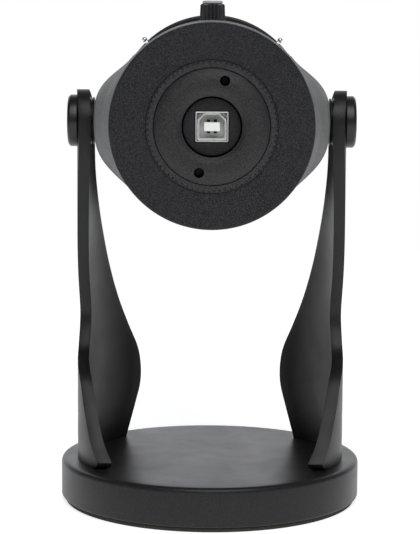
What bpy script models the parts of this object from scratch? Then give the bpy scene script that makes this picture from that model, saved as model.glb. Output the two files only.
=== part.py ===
"""Desk-top USB microphone on a yoke stand, modelled at real size.

World frame: metres, +Z up, origin at the centre of the foot pad's underside. The pivot axis of the
yoke runs along X. The microphone is modelled upright in its own frame, whose origin is on the pivot
axis, with its head along +Z and its control panel facing -Y. An empty then lays that frame back, so
the head points along world +Y, the panel faces up and the socket end faces world -Y.
"""

import math

import bmesh
import bpy
from mathutils import Euler

MM = 0.001
GAP = 0.3 * MM  # clearance between neighbouring solids
FINE = 40  # segments of a large round piece
COARSE = 20  # segments of a small round piece

# Stand
BASE_R = 60.75 * MM
BASE_TOP = 17.3 * MM
BASE_EDGE = 2.0 * MM
PAD_THICK = 1.7 * MM
BASE_BOTTOM = PAD_THICK + GAP
PAD_R = BASE_R - 1.5 * MM
BALLAST_R = 43.5 * MM
BALLAST_TOP = 9.0 * MM
PIVOT_Z = 154.0 * MM
ARM_OUTER_R = 54.2 * MM
ARM_THICK = 4.6 * MM
ARM_INNER_R = ARM_OUTER_R - ARM_THICK
ARM_BOTTOM = BASE_TOP + GAP
EAR_R = 12.6 * MM
ARM_SCREW_R = 1.5 * MM
ARM_SCREW_ANGLES = (-18.0, 24.0)

# Pivot hardware
BOLT_R = 3.0 * MM
BOLT_INNER_X = 36.0 * MM
KNOB_R = 10.4 * MM
KNOB_THICK = 4.5 * MM
KNOB_EDGE = 1.0 * MM
KNOB_SEAT_X = 52.9 * MM  # flat face cut into each ear for its knob
KNOB_SEAT_R = 11.0 * MM
KNOB_X = KNOB_SEAT_X + GAP
SPACER_R = 9.4 * MM
BOSS_X = 47.0 * MM  # flat face of each shoulder
WASHER_R = 6.0 * MM
WASHER_THICK = 1.2 * MM

# Microphone, measured along its own axis from the pivot
END_Z = -76.6 * MM
CAP_THICK = 2.4 * MM
HOUSING_BOTTOM = END_Z + CAP_THICK + GAP
HOUSING_TOP = 27.0 * MM
CAP_R = 37.35 * MM
CAP_EDGE = 1.0 * MM
BORE_R = 35.0 * MM  # housing bore at the socket end
BORE_WIDE_R = 37.4 * MM  # housing bore at the head end
SHOULDER = 6.4 * MM
SHOULDER_FADE_FRONT = 29.0  # degrees over which a shoulder fades into the round body
SHOULDER_FADE_BACK = 35.0
RING_R = 23.9 * MM
RING_BORE = 21.4 * MM
SOCKET_BOSS_R = 21.0 * MM
SOCKET_HOLE_R = 11.0 * MM
SOCKET_SCREW_PCR = 17.1 * MM
SOCKET_SCREW_TILT = 15.5
PLATE_Z = END_Z + 1.6 * MM
USB_W = 12.0 * MM
USB_H = 11.0 * MM
USB_LEN = 16.0 * MM
PANEL_R = 38.6 * MM
PANEL_Z = (-48.0 * MM, 20.0 * MM)
PANEL_HALF_ANGLE = 50.0
LEVEL_Z = -25.0 * MM
LEVEL_R = 4.95 * MM
LEVEL_H = 8.4 * MM
TOGGLE_Z = -25.0 * MM
TOGGLE_ANGLE = 39.3
TOGGLE_TIP = 3.9 * MM
LIGHT_Z = 8.0 * MM
JACK_Z = -40.0 * MM
JACK_RING_R = 5.5 * MM
HEAD_WIDE = 41.0 * MM  # half-width of the collar
HEAD_DEEP = 43.4 * MM  # half-depth of the collar, front to back
GRILLE_STEP = 2.2 * MM
COLLAR_H = 9.0 * MM
HEAD_TOP = 134.0 * MM
CAPSULE_Z = 86.0 * MM
CAPSULE_R = 17.0 * MM

ALONG_X = (0.0, math.radians(90.0), 0.0)
ALONG_MINUS_X = (0.0, math.radians(-90.0), 0.0)
FACING_FRONT = (math.radians(90.0), 0.0, 0.0)
FACING_BACK = (math.radians(-90.0), 0.0, 0.0)


# ---------------------------------------------------------------- helpers
def material(name, colour, roughness, metallic=0.0):
    made = bpy.data.materials.new(name)
    made.use_nodes = True
    shader = made.node_tree.nodes["Principled BSDF"]
    shader.inputs["Base Color"].default_value = (*colour, 1.0)
    shader.inputs["Roughness"].default_value = roughness
    shader.inputs["Metallic"].default_value = metallic
    return made


def solid(name, points, faces, finish, parent=None, at=(0, 0, 0), turn=(0, 0, 0), smooth=True):
    """A named object from points and faces, with outward normals."""
    mesh = bpy.data.meshes.new(name)
    bm = bmesh.new()
    made = [bm.verts.new(p) for p in points]
    for face in faces:
        bm.faces.new([made[i] for i in face])
    bmesh.ops.recalc_face_normals(bm, faces=bm.faces)
    bm.to_mesh(mesh)
    bm.free()
    if smooth:
        mesh.shade_smooth()
        mesh.set_sharp_from_angle(angle=math.radians(35))
    obj = bpy.data.objects.new(name, mesh)
    bpy.context.scene.collection.objects.link(obj)
    if finish:
        mesh.materials.append(finish)
    obj.parent = parent
    obj.location = at
    obj.rotation_euler = turn
    return obj


def rings_to_faces(rings, steps, closed):
    """Quads between rings of `steps` points; a ring of one point is a pole."""
    faces = []
    pairs = list(zip(rings, rings[1:]))
    if closed:
        pairs.append((rings[-1], rings[0]))
    for low, high in pairs:
        for i in range(steps):
            j = (i + 1) % steps
            if len(low) == 1:
                faces.append((low[0], high[j], high[i]))
            elif len(high) == 1:
                faces.append((low[i], low[j], high[0]))
            else:
                faces.append((low[i], low[j], high[j], high[i]))
    return faces


def turned(name, profile, finish, steps=FINE, radius_of=None, **place):
    """A solid of revolution about its own Z from (radius, height) pairs.

    The profile runs from axis to axis, or is a closed loop clear of the axis. radius_of(r, i) may
    change the radius of the i-th point round, for flutes and knurls.
    """
    points, rings = [], []
    for r, z in profile:
        if r < 1e-7:
            rings.append([len(points)])
            points.append((0.0, 0.0, z))
            continue
        ring = []
        for i in range(steps):
            turn = 2.0 * math.pi * i / steps
            here = radius_of(r, i) if radius_of else r
            ring.append(len(points))
            points.append((here * math.cos(turn), here * math.sin(turn), z))
        rings.append(ring)
    closed = len(rings[0]) > 1
    return solid(name, points, rings_to_faces(rings, steps, closed), finish, **place)


def rod(radius, low, high):
    """Profile of a plain round rod."""
    return [(0.0, low), (radius, low), (radius, high), (0.0, high)]


def tube(inner, outer, low, high):
    """Profile of a plain round tube."""
    return [(inner, low), (outer, low), (outer, high), (inner, high)]


def arc(centre_r, centre_z, radius, start, end, count):
    """Profile points on an arc, with angles in degrees from +r towards +z."""
    found = []
    for i in range(count + 1):
        turn = math.radians(start + (end - start) * i / count)
        found.append((centre_r + radius * math.cos(turn), centre_z + radius * math.sin(turn)))
    return found


def block_points(low, high):
    return [(x, y, z) for z in (low[2], high[2]) for y in (low[1], high[1]) for x in (low[0], high[0])]


BLOCK_FACES = ((0, 2, 3, 1), (4, 5, 7, 6), (0, 1, 5, 4), (2, 6, 7, 3), (0, 4, 6, 2), (1, 3, 7, 5))


def blocks(name, boxes, finish, **place):
    """One or more separate boxes in one object, each given by its low and high corner."""
    points, faces = [], []
    for low, high in boxes:
        start = len(points)
        points += block_points(low, high)
        faces += [tuple(start + i for i in face) for face in BLOCK_FACES]
    return solid(name, points, faces, finish, smooth=False, **place)


def prism(name, outline, low, high, finish, **place):
    """A flat outline in X and Y, extruded along Z."""
    count = len(outline)
    points = [(x, y, z) for z in (low, high) for x, y in outline]
    faces = [tuple(range(count)), tuple(range(count, 2 * count))]
    faces += [(i, (i + 1) % count, count + (i + 1) % count, count + i) for i in range(count)]
    return solid(name, points, faces, finish, **place)


def cut(target, cutter):
    """Removes the cutter's shape from the target; the cutter stays as a hidden helper."""
    cutter.hide_render = True
    cutter.display_type = "WIRE"
    boolean = target.modifiers.new("cut", "BOOLEAN")
    boolean.operation = "DIFFERENCE"
    boolean.solver = "EXACT"
    boolean.object = cutter


def smoothstep(value):
    value = min(1.0, max(0.0, value))
    return value * value * (3.0 - 2.0 * value)


def between(table, value):
    """Smooth curve through (position, value) pairs, by cosine-free cubic interpolation."""
    table = sorted(table)
    if value <= table[0][0]:
        return table[0][1]
    if value >= table[-1][0]:
        return table[-1][1]
    last = len(table) - 1
    k = max(i for i in range(last) if table[i][0] <= value)

    def slope(i):
        low, high = table[max(i - 1, 0)], table[min(i + 1, last)]
        return (high[1] - low[1]) / (high[0] - low[0])

    (x0, y0), (x1, y1) = table[k], table[k + 1]
    span = x1 - x0
    t = (value - x0) / span
    return (
        (2 * t**3 - 3 * t**2 + 1) * y0
        + (t**3 - 2 * t**2 + t) * span * slope(k)
        + (3 * t**2 - 2 * t**3) * y1
        + (t**3 - t**2) * span * slope(k + 1)
    )


# ---------------------------------------------------------------- start
for old in list(bpy.data.objects):
    bpy.data.objects.remove(old, do_unlink=True)

PAINT = material("powder_coat", (0.035, 0.036, 0.039), 0.55, 0.2)
ARM_PAINT = material("stand_paint", (0.030, 0.031, 0.034), 0.42, 0.2)
BLACK = material("black_plastic", (0.018, 0.018, 0.019), 0.35)
RUBBER = material("black_rubber", (0.012, 0.012, 0.012), 0.85)
STEEL = material("steel", (0.62, 0.62, 0.60), 0.30, 1.0)
CHROME = material("chrome", (0.85, 0.86, 0.88), 0.08, 1.0)
IRON = material("ballast_iron", (0.16, 0.16, 0.17), 0.60, 0.8)
WHITE = material("white_plastic", (0.86, 0.86, 0.84), 0.40)
BRASS = material("gold_contact", (0.83, 0.62, 0.25), 0.25, 1.0)
BOARD = material("circuit_board", (0.02, 0.16, 0.07), 0.45)
MESH = material("grille_steel", (0.06, 0.06, 0.065), 0.40, 0.9)
FOAM = material("foam", (0.03, 0.03, 0.032), 0.95)
GREEN = material("led_lens", (0.15, 0.75, 0.25), 0.20)
GREY = material("cap_grey", (0.30, 0.31, 0.33), 0.30, 0.6)

mic = bpy.data.objects.new("mic_frame", None)
bpy.context.scene.collection.objects.link(mic)
mic.location = (0.0, 0.0, PIVOT_Z)
mic.rotation_euler = (math.radians(-90.0), 0.0, 0.0)


# ---------------------------------------------------------------- stand
def base():
    """Cast disc with a rounded top edge, its ballast in a pocket underneath and the foot pad."""
    edge = arc(BASE_R - BASE_EDGE, BASE_TOP - BASE_EDGE, BASE_EDGE, 90, 0, 3)
    profile = [(0.0, BASE_TOP), *edge, (BASE_R, BASE_BOTTOM + 0.5 * MM)]
    profile += [(BASE_R - 0.5 * MM, BASE_BOTTOM), (BALLAST_R + GAP, BASE_BOTTOM)]
    profile += [(BALLAST_R + GAP, BALLAST_TOP + GAP), (0.0, BALLAST_TOP + GAP)]
    casting = turned("base_casting", profile, PAINT, steps=48)
    turned("ballast_disc", rod(BALLAST_R, BASE_BOTTOM, BALLAST_TOP), IRON)
    turned("foot_pad", rod(PAD_R, 0.0, PAD_THICK), RUBBER, steps=48)
    return casting


# Limits of the blade about the stand's axis, in degrees, against height in mm. Positive is towards
# the back. The back edge is a leaf, taken on the inner face. The front edge, taken on the outer face,
# dips back, then sweeps out to a rounded toe.
BACK_EDGE = (
    (17.6, 43.5), (24, 46.3), (32, 49.6), (40, 52.4), (48, 52.7), (56, 50.8), (66, 45.0),
    (78, 38.0), (92, 31.0), (106, 25.0), (120, 19.6), (134, 15.6), (146, 14.7), (154, 14.7),
)
FRONT_EDGE = (
    (17.6, -31.0), (18.2, -33.4), (19, -34.5), (20.2, -35.0), (21.5, -34.1), (25, -30.8), (28.6, -28.1),
    (34, -25.1), (40, -21.6), (46, -18.3), (51, -14.5), (55, -8.5), (60, 0.6), (66, 4.8), (72, 7.0),
    (77, 7.1), (83, 5.2), (90, 2.4), (98, -0.8), (114, -5.6), (130, -9.6), (142, -12.4), (154, -13.4),
)


def arm_limits(z):
    """Front and back limit of the blade at height z, as distances along Y."""
    if z > PIVOT_Z:
        half = math.sqrt(max(EAR_R**2 - (z - PIVOT_Z) ** 2, 0.0))
        return -half, half
    front = ARM_OUTER_R * math.sin(math.radians(between(FRONT_EDGE, z / MM)))
    return front, ARM_INNER_R * math.sin(math.radians(between(BACK_EDGE, z / MM)))


def arm(name, side):
    """Leaf-shaped blade, cut from a cylinder shell about the stand's axis, with the pivot ear on top."""
    heights = [17.6, 18.6, 20.2, 24, 29, 34, 40, 46, 51, 55, 60, 66, 72, 78, 84, 94, 104, 116, 128, 140, 154]
    rows = [h * MM for h in heights]
    rows[0] = ARM_BOTTOM
    rows += [PIVOT_Z + EAR_R * math.sin(math.radians(a)) for a in (20, 38, 54, 68, 79, 86)]
    columns = 6
    points, rings = [], []
    for z in rows:
        front, back = arm_limits(z)
        ring = []
        for radius, forward in ((ARM_OUTER_R, True), (ARM_INNER_R, False)):
            start, end = math.asin(front / radius), math.asin(back / radius)
            turns = [start + (end - start) * i / columns for i in range(columns + 1)]
            for turn in turns if forward else turns[::-1]:
                ring.append(len(points))
                points.append((side * radius * math.cos(turn), radius * math.sin(turn), z))
        rings.append(ring)
    count = 2 * (columns + 1)
    faces = rings_to_faces(rings, count, closed=False)
    faces += [tuple(rings[0]), tuple(rings[-1])]
    blade = solid(name, points, faces, ARM_PAINT)
    across = ALONG_X if side > 0 else ALONG_MINUS_X
    place = {"at": (0, 0, PIVOT_Z), "turn": across}
    cut(blade, turned(name + "_pivot_hole", rod(BOLT_R + GAP, 0.0, 80 * MM), None, steps=COARSE, **place))
    cut(blade, turned(name + "_knob_seat", rod(KNOB_SEAT_R, KNOB_SEAT_X, 80 * MM), None, steps=32, **place))
    return blade


def arm_screws(casting, arms):
    """Two screws up through the casting into each arm's foot, with their clearance holes."""
    middle = (ARM_OUTER_R + ARM_INNER_R) / 2
    head_r, head_z, head_top = 3.0 * MM, BASE_BOTTOM + 1.0 * MM, BASE_BOTTOM + 3.4 * MM
    profile = [(0.0, head_z), (head_r, head_z), (head_r, head_top), (ARM_SCREW_R, head_top)]
    profile += [(ARM_SCREW_R, BASE_TOP + 7.0 * MM), (0.0, BASE_TOP + 7.0 * MM)]
    hole = [(0.0, 0.0), (head_r + GAP, 0.0), (head_r + GAP, head_top + GAP)]
    hole += [(ARM_SCREW_R + GAP, head_top + GAP), (ARM_SCREW_R + GAP, BASE_TOP + 8.0 * MM)]
    hole += [(0.0, BASE_TOP + 8.0 * MM)]
    for side, blade in zip((-1, 1), arms):
        for degrees in ARM_SCREW_ANGLES:
            turn = math.radians(degrees)
            place = (side * middle * math.cos(turn), middle * math.sin(turn), 0.0)
            name = f"{blade.name}_screw_{'front' if degrees < 0 else 'back'}"
            turned(name, profile, STEEL, steps=12, at=place)
            cutter = turned("arm_screw_hole", hole, None, steps=12, at=place)
            cut(casting, cutter)
            cut(blade, cutter)


def spacer(name, side):
    """Saddle washer: flat towards the microphone, curved to the ear on its other side."""
    bore, inner = BOLT_R + GAP, BOSS_X + GAP
    points, rings = [], []
    for radius, curved in ((bore, False), (SPACER_R, False), (SPACER_R, True), (bore, True)):
        ring = []
        for i in range(COARSE):
            turn = 2.0 * math.pi * i / COARSE
            y, z = radius * math.cos(turn), radius * math.sin(turn)
            x = math.sqrt((ARM_INNER_R - GAP) ** 2 - y * y) if curved else inner
            ring.append(len(points))
            points.append((side * x, y, z + PIVOT_Z))
        rings.append(ring)
    return solid(name, points, rings_to_faces(rings, COARSE, closed=True), BLACK)


def pivot_knob(name, side):
    """Round hand knob with its captive washer, and the bolt that it turns through the ear."""
    turn = ALONG_X if side > 0 else ALONG_MINUS_X
    outer = KNOB_X + KNOB_THICK
    seat = KNOB_X + 2.6 * MM
    profile = [(0.0, outer)]
    profile += arc(KNOB_R - KNOB_EDGE, outer - KNOB_EDGE, KNOB_EDGE, 90, 0, 3)
    recess = KNOB_X + WASHER_THICK + GAP
    profile += [(KNOB_R, KNOB_X + 0.5 * MM), (KNOB_R - 0.5 * MM, KNOB_X), (WASHER_R + GAP, KNOB_X)]
    profile += [(WASHER_R + GAP, recess), (BOLT_R + GAP, recess), (BOLT_R + GAP, seat), (0.0, seat)]
    turned(name + "_knob", profile, BLACK, at=(0, 0, PIVOT_Z), turn=turn)
    washer = tube(BOLT_R + GAP, WASHER_R, KNOB_X, KNOB_X + WASHER_THICK)
    turned(name + "_clamp_washer", washer, WHITE, steps=COARSE, at=(0, 0, PIVOT_Z), turn=turn)
    turned(name + "_pivot_bolt", rod(BOLT_R, BOLT_INNER_X, seat - GAP), STEEL, steps=COARSE,
           at=(0, 0, PIVOT_Z), turn=turn)


# ---------------------------------------------------------------- microphone housing
def body_radius(z):
    """Radius of the housing's round body at height z."""
    return between(((-77, 37.3), (-60, 38.2), (-35, 39.7), (0, 40.9), (27, 41.2)), z / MM) * MM


def shoulder_height(z):
    """How far the pivot shoulders stand proud of the round body at height z."""
    rise = between(((-74, 0.0), (-60, 0.30), (-42, 0.68), (-24, 0.92), (-8, 1.0), (0, 1.0)), z / MM)
    return SHOULDER * rise * smoothstep((27.0 - z / MM) / 24.0)


def housing_radius(turn, z):
    """Outer radius of the housing: a round body with a shoulder that swells towards each pivot."""
    off = math.degrees(math.acos(min(1.0, abs(math.cos(turn)))))
    fade = SHOULDER_FADE_FRONT if math.sin(turn) < 0.0 else SHOULDER_FADE_BACK
    ramp = 0.5 * (1.0 + math.cos(math.pi * min(1.0, max(0.0, (off - 10.0) / fade))))
    radius = body_radius(z) + shoulder_height(z) * ramp
    return min(radius, BOSS_X / max(abs(math.cos(turn)), 1e-6))


def housing():
    steps = 56
    heights = [h * MM for h in (-67, -57, -45, -33, -21, -10, 0, 9, 18)]
    heights = [HOUSING_BOTTOM, *heights, HOUSING_TOP]
    points, rings = [], []

    def ring(radius_at, z):
        rings.append([])
        for i in range(steps):
            turn = 2.0 * math.pi * i / steps
            rings[-1].append(len(points))
            radius = radius_at(turn)
            points.append((radius * math.cos(turn), radius * math.sin(turn), z))

    for z in heights:
        ring(lambda turn, z=z: housing_radius(turn, z), z)
    bore = ((BORE_WIDE_R, HOUSING_TOP), (BORE_WIDE_R, -25 * MM), (BORE_R, -45 * MM), (BORE_R, HOUSING_BOTTOM))
    for radius, z in bore:
        ring(lambda turn, radius=radius: radius, z)
    shell = solid("housing", points, rings_to_faces(rings, steps, closed=True), PAINT, parent=mic)
    bolt_way = turned("housing_pivot_hole", rod(BOLT_R + GAP, -60 * MM, 60 * MM), None, steps=COARSE,
                      parent=mic, turn=ALONG_X)
    jack_way = turned("housing_jack_hole", rod(JACK_RING_R + GAP, 25 * MM, 60 * MM), None,
                      steps=COARSE, parent=mic, at=(0, 0, JACK_Z), turn=FACING_BACK)
    cut(shell, bolt_way)
    cut(shell, jack_way)
    cut(shell, panel_pad("housing_panel_seat", None, PANEL_R + 8 * MM, 30 * MM, 0.0))
    return shell


def panel_pad(name, finish, outer, inner, shrink):
    """Curved rounded rectangle on the front, concentric with the microphone."""
    corner, count = 6.0 * MM, 16
    low, high = PANEL_Z[0] + shrink, PANEL_Z[1] - shrink
    half = math.radians(PANEL_HALF_ANGLE) - shrink / PANEL_R
    points, rings = [], []
    for i in range(count + 1):
        share = -1.0 + 2.0 * i / count
        turn = half * math.sin(share * math.pi / 2)
        edge = (half - abs(turn)) * PANEL_R
        inset = corner - math.sqrt(max(corner**2 - max(corner - edge, 0.0) ** 2, 0.0))
        ring = []
        bottom, top = low + inset, high - inset
        for radius, z in ((outer, bottom), (outer, top), (inner, top), (inner, bottom)):
            ring.append(len(points))
            points.append((radius * math.sin(turn), -radius * math.cos(turn), z))
        rings.append(ring)
    faces = rings_to_faces(rings, 4, closed=False)
    faces += [tuple(rings[0]), tuple(rings[-1])]
    return solid(name, points, faces, finish, parent=mic)


def front_point(angle, z, distance):
    """A point at `distance` from the microphone's axis, `angle` degrees round from the front."""
    turn = math.radians(angle)
    return (distance * math.sin(turn), -distance * math.cos(turn), z)


def front_turn(angle):
    """Rotation that points a piece's own Z outwards from the panel at that angle."""
    return (math.radians(90.0), 0.0, math.radians(angle))


# ---------------------------------------------------------------- socket end
def socket_end():
    """End cap, knurled ring, domed boss with its two screws, and the recessed socket plate."""
    edge = arc(CAP_R - CAP_EDGE, END_Z + CAP_EDGE, CAP_EDGE, 0, -90, 3)
    profile = [(RING_R + 0.9 * MM, END_Z + CAP_THICK), (CAP_R, END_Z + CAP_THICK), *edge]
    profile += [(RING_R + 1.6 * MM, END_Z), (RING_R + 0.9 * MM, END_Z + 0.7 * MM)]
    turned("end_cap", profile, PAINT, parent=mic, steps=56)

    def knurl(radius, i):
        return radius - 0.4 * MM if radius > RING_R - 0.1 * MM and i % 2 else radius

    profile = [(RING_BORE, END_Z + 5.0 * MM), (RING_R, END_Z + 5.0 * MM), (RING_R, END_Z - 0.3 * MM)]
    profile += [(RING_R - 0.6 * MM, END_Z - 0.8 * MM), (RING_BORE, END_Z - 0.8 * MM)]
    turned("knurled_ring", profile, PAINT, parent=mic, steps=72, radius_of=knurl)

    profile = [(SOCKET_HOLE_R, END_Z + 5.0 * MM), (SOCKET_BOSS_R, END_Z + 5.0 * MM)]
    profile += [(SOCKET_BOSS_R, END_Z - 0.6 * MM), (SOCKET_BOSS_R - 1.4 * MM, END_Z - 1.7 * MM)]
    profile += [(17.0 * MM, END_Z - 2.5 * MM), (14.0 * MM, END_Z - 2.6 * MM), (12.0 * MM, END_Z - 2.1 * MM)]
    profile += [(SOCKET_HOLE_R, END_Z - 1.2 * MM)]
    boss = turned("socket_boss", profile, PAINT, parent=mic)
    head_r, shank_r = 1.5 * MM, 0.9 * MM
    shape = [(0.0, END_Z + 1.0 * MM), (head_r, END_Z + 1.0 * MM), (head_r, END_Z + 2.6 * MM)]
    shape += [(shank_r, END_Z + 2.6 * MM), (shank_r, END_Z + 9.0 * MM), (0.0, END_Z + 9.0 * MM)]
    for name, tilt in (("front", -90.0 + SOCKET_SCREW_TILT), ("back", 90.0 + SOCKET_SCREW_TILT)):
        turn = math.radians(tilt)
        place = (SOCKET_SCREW_PCR * math.cos(turn), SOCKET_SCREW_PCR * math.sin(turn), 0.0)
        hole = turned("boss_screw_hole", rod(head_r + GAP, END_Z - 5 * MM, END_Z + 6 * MM), None,
                      parent=mic, steps=16, at=place)
        cut(boss, hole)
        turned("boss_screw_" + name, shape, STEEL, parent=mic, steps=16, at=place)

    face_r, flange_r = SOCKET_HOLE_R - 1.3 * MM, SOCKET_HOLE_R - GAP
    profile = [(0.0, PLATE_Z), (face_r, PLATE_Z), (face_r, PLATE_Z + 2.0 * MM)]
    profile += [(flange_r, PLATE_Z + 2.0 * MM), (flange_r, PLATE_Z + 4.0 * MM), (0.0, PLATE_Z + 4.0 * MM)]
    plate = turned("socket_plate", profile, BLACK, parent=mic)
    half_w, half_h = USB_W / 2 + GAP, USB_H / 2 + GAP
    corners = ((-half_w, -half_h, PLATE_Z - 5 * MM), (half_w, half_h, PLATE_Z + 9 * MM))
    hole = blocks("socket_plate_hole", [corners], None, parent=mic)
    cut(plate, hole)


def d_outline(width, height, chamfer):
    """Outline of the square socket's opening: two corners cut off on the front side."""
    w, h = width / 2, height / 2
    return [(-w, h), (w, h), (w, -h + chamfer), (w - chamfer, -h), (-w + chamfer, -h), (-w, -h + chamfer)]


def usb_socket():
    """Metal shell with the D-shaped mouth, the moulded tongue and its four contact springs."""
    front = PLATE_Z - 0.3 * MM
    shell = blocks("usb_shell", [((-USB_W / 2, -USB_H / 2, front), (USB_W / 2, USB_H / 2, front + USB_LEN))],
                   STEEL, parent=mic)
    back = front + USB_LEN - 1.0 * MM
    mouth = prism("usb_mouth", d_outline(9.9 * MM, 9.3 * MM, 1.9 * MM), front - 2 * MM, back, None,
                  parent=mic, smooth=False)
    cut(shell, mouth)
    tongue = (5.7 * MM, 3.2 * MM)
    half_w, half_h, back = tongue[0] / 2, tongue[1] / 2, back - GAP
    corners = ((-half_w, -half_h, front + 1.0 * MM), (half_w, half_h, back))
    blocks("usb_tongue", [corners], WHITE, parent=mic)
    for number, (column, side) in enumerate(((-1, -1), (1, -1), (1, 1), (-1, 1)), start=1):
        x = column * 1.25 * MM
        low, high = sorted((side * (half_h + GAP), side * (half_h + 2 * GAP)))
        corners = ((x - 0.4 * MM, low, front + 2.0 * MM), (x + 0.4 * MM, high, back))
        blocks(f"usb_contact_{number}", [corners], BRASS, parent=mic)
    board_z = front + USB_LEN + GAP
    turned("socket_board", rod(18.0 * MM, board_z, board_z + 1.6 * MM), BOARD, parent=mic, steps=COARSE)


# ---------------------------------------------------------------- controls
def controls():
    """Panel, level knob on its potentiometer, two toggle switches and the power light."""
    surface = PANEL_R
    panel = panel_pad("control_panel", BLACK, surface, surface - 3.0 * MM, GAP)
    shaft_r, bush_r, toggle_bush_r, light_r = 2.0 * MM, 3.0 * MM, 2.2 * MM, 1.4 * MM
    shaft_way = turned("panel_shaft_hole", rod(bush_r + GAP, 20 * MM, 45 * MM), None, parent=mic,
                       steps=COARSE, at=front_point(0, LEVEL_Z, 0.0), turn=front_turn(0))
    cut(panel, shaft_way)
    light_way = turned("panel_light_hole", rod(light_r + GAP, 20 * MM, 45 * MM), None, parent=mic, steps=16,
                       at=front_point(0, LIGHT_Z, 0.0), turn=front_turn(0))
    cut(panel, light_way)
    turned("power_light", [(0.0, surface - 6 * MM), (light_r, surface - 6 * MM), (light_r, surface),
                           (light_r * 0.7, surface + 0.5 * MM), (0.0, surface + 0.7 * MM)],
           GREEN, parent=mic, steps=16, at=front_point(0, LIGHT_Z, 0.0), turn=front_turn(0))

    knob_low, knob_high = surface + GAP, surface + LEVEL_H
    bore_r = shaft_r + GAP

    def flute(radius, i):
        return radius - 0.45 * MM if radius > LEVEL_R - 0.6 * MM and i % 2 else radius

    profile = [(bore_r, knob_low), (LEVEL_R, knob_low), (LEVEL_R - 0.25 * MM, knob_high - 1.2 * MM)]
    profile += [(LEVEL_R - 0.9 * MM, knob_high - 0.6 * MM), (LEVEL_R - 0.9 * MM, knob_high - 0.1 * MM)]
    profile += [(LEVEL_R - 1.3 * MM, knob_high - 0.1 * MM), (LEVEL_R - 1.3 * MM, knob_high - 0.7 * MM)]
    profile += [(bore_r, knob_high - 0.7 * MM)]
    place = {"parent": mic, "at": front_point(0, LEVEL_Z, 0.0), "turn": front_turn(0)}
    turned("level_knob", profile, BLACK, steps=36, radius_of=flute, **place)
    cap = rod(LEVEL_R - 1.6 * MM, knob_high - 0.4 * MM, knob_high)
    turned("level_knob_cap", cap, GREY, steps=COARSE, **place)
    turned("pot_shaft", rod(shaft_r, surface - 9 * MM, knob_high - 0.8 * MM), STEEL, steps=COARSE, **place)
    bush = [(bore_r, surface - 8 * MM), (8.0 * MM, surface - 8 * MM), (8.0 * MM, surface - 4.6 * MM)]
    bush += [(bush_r, surface - 4.6 * MM), (bush_r, surface - 0.4 * MM), (bore_r, surface - 0.4 * MM)]
    turned("pot_body", bush, STEEL, steps=COARSE, **place)
    for name, side in (("left", -1), ("right", 1)):
        toggle(name, side, panel, toggle_bush_r)


def toggle(name, side, panel, bush_r):
    """Miniature toggle switch: body under the panel, bushing through it and the bat lever."""
    surface = PANEL_R
    angle = side * TOGGLE_ANGLE
    place = {"parent": mic, "at": front_point(angle, TOGGLE_Z, 0.0), "turn": front_turn(angle)}
    way = turned(name + "_toggle_hole", rod(bush_r + GAP, 20 * MM, 45 * MM), None, steps=16, **place)
    cut(panel, way)
    lever_r, throw_r = 0.7 * MM, 1.5 * MM
    pivot = surface - 3.2 * MM
    profile = [(throw_r, surface - 5.2 * MM), (3.4 * MM, surface - 5.2 * MM), (3.4 * MM, surface - 3.6 * MM)]
    profile += [(bush_r, surface - 3.6 * MM), (bush_r, surface + 0.3 * MM)]
    profile += [(throw_r + 0.2 * MM, surface + 0.3 * MM)]
    turned(name + "_toggle_bushing", profile, STEEL, steps=16, **place)
    body = front_point(angle, TOGGLE_Z, surface - 9.0 * MM)
    corners = ((-2.6 * MM, -4.4 * MM, -2.6 * MM), (2.6 * MM, 4.4 * MM, 3.4 * MM))
    blocks(name + "_toggle_switch", [corners], BLACK, parent=mic, at=body, turn=front_turn(angle))
    lever = [(0.0, -1.6 * MM), (1.1 * MM, -1.1 * MM), (1.25 * MM, 0.0), (lever_r, 1.0 * MM)]
    tip = 3.2 * MM + TOGGLE_TIP
    lever += [(lever_r, tip - 2.4 * MM), (1.0 * MM, tip - 1.5 * MM), (0.9 * MM, tip - 0.5 * MM), (0.0, tip)]
    lean = Euler((math.radians(-9.0), 0, 0)).to_matrix()
    turned(name + "_toggle", lever, CHROME, steps=16, parent=mic, at=front_point(angle, TOGGLE_Z, pivot),
           turn=(Euler(front_turn(angle)).to_matrix() @ lean).to_euler())


# ---------------------------------------------------------------- inside and head
def electronics():
    """Main board across the body, its components and screws, and the headphone jack at the back."""
    half_w, low, high, back = 27.0 * MM, -50.0 * MM, 22.0 * MM, 3.0 * MM
    board = blocks("main_board", [((-half_w, back, low), (half_w, back + 1.6 * MM, high))], BOARD, parent=mic)
    rest = back + 1.6 * MM + GAP
    blocks("codec_chip", [((-10 * MM, rest, -10 * MM), (2 * MM, rest + 2.0 * MM, 2 * MM))], BLACK, parent=mic)
    for x, z, name in ((-23.0 * MM, -46.0 * MM, "lower"), (23.0 * MM, 18.0 * MM, "upper")):
        shape = [(0.0, -4.5 * MM), (1.2 * MM, -4.5 * MM), (1.2 * MM, 1.9 * MM), (2.4 * MM, 1.9 * MM)]
        shape += [(2.4 * MM, 3.6 * MM), (0.0, 3.6 * MM)]
        place = {"parent": mic, "at": (x, back, z), "turn": FACING_BACK, "steps": 12}
        cut(board, turned("board_screw_hole", rod(1.5 * MM, -3 * MM, 5 * MM), None, **place))
        turned("board_screw_" + name, shape, STEEL, **place)
    barrel = tube(1.8 * MM, 3.6 * MM, 24.0 * MM, 39.0 * MM)
    turned("headphone_jack", barrel, STEEL, parent=mic, steps=COARSE, at=(0, 0, JACK_Z), turn=FACING_BACK)
    turned("jack_ring", tube(3.9 * MM, JACK_RING_R, 37.6 * MM, 39.6 * MM), BLACK, parent=mic, steps=COARSE,
           at=(0, 0, JACK_Z), turn=FACING_BACK)


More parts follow.
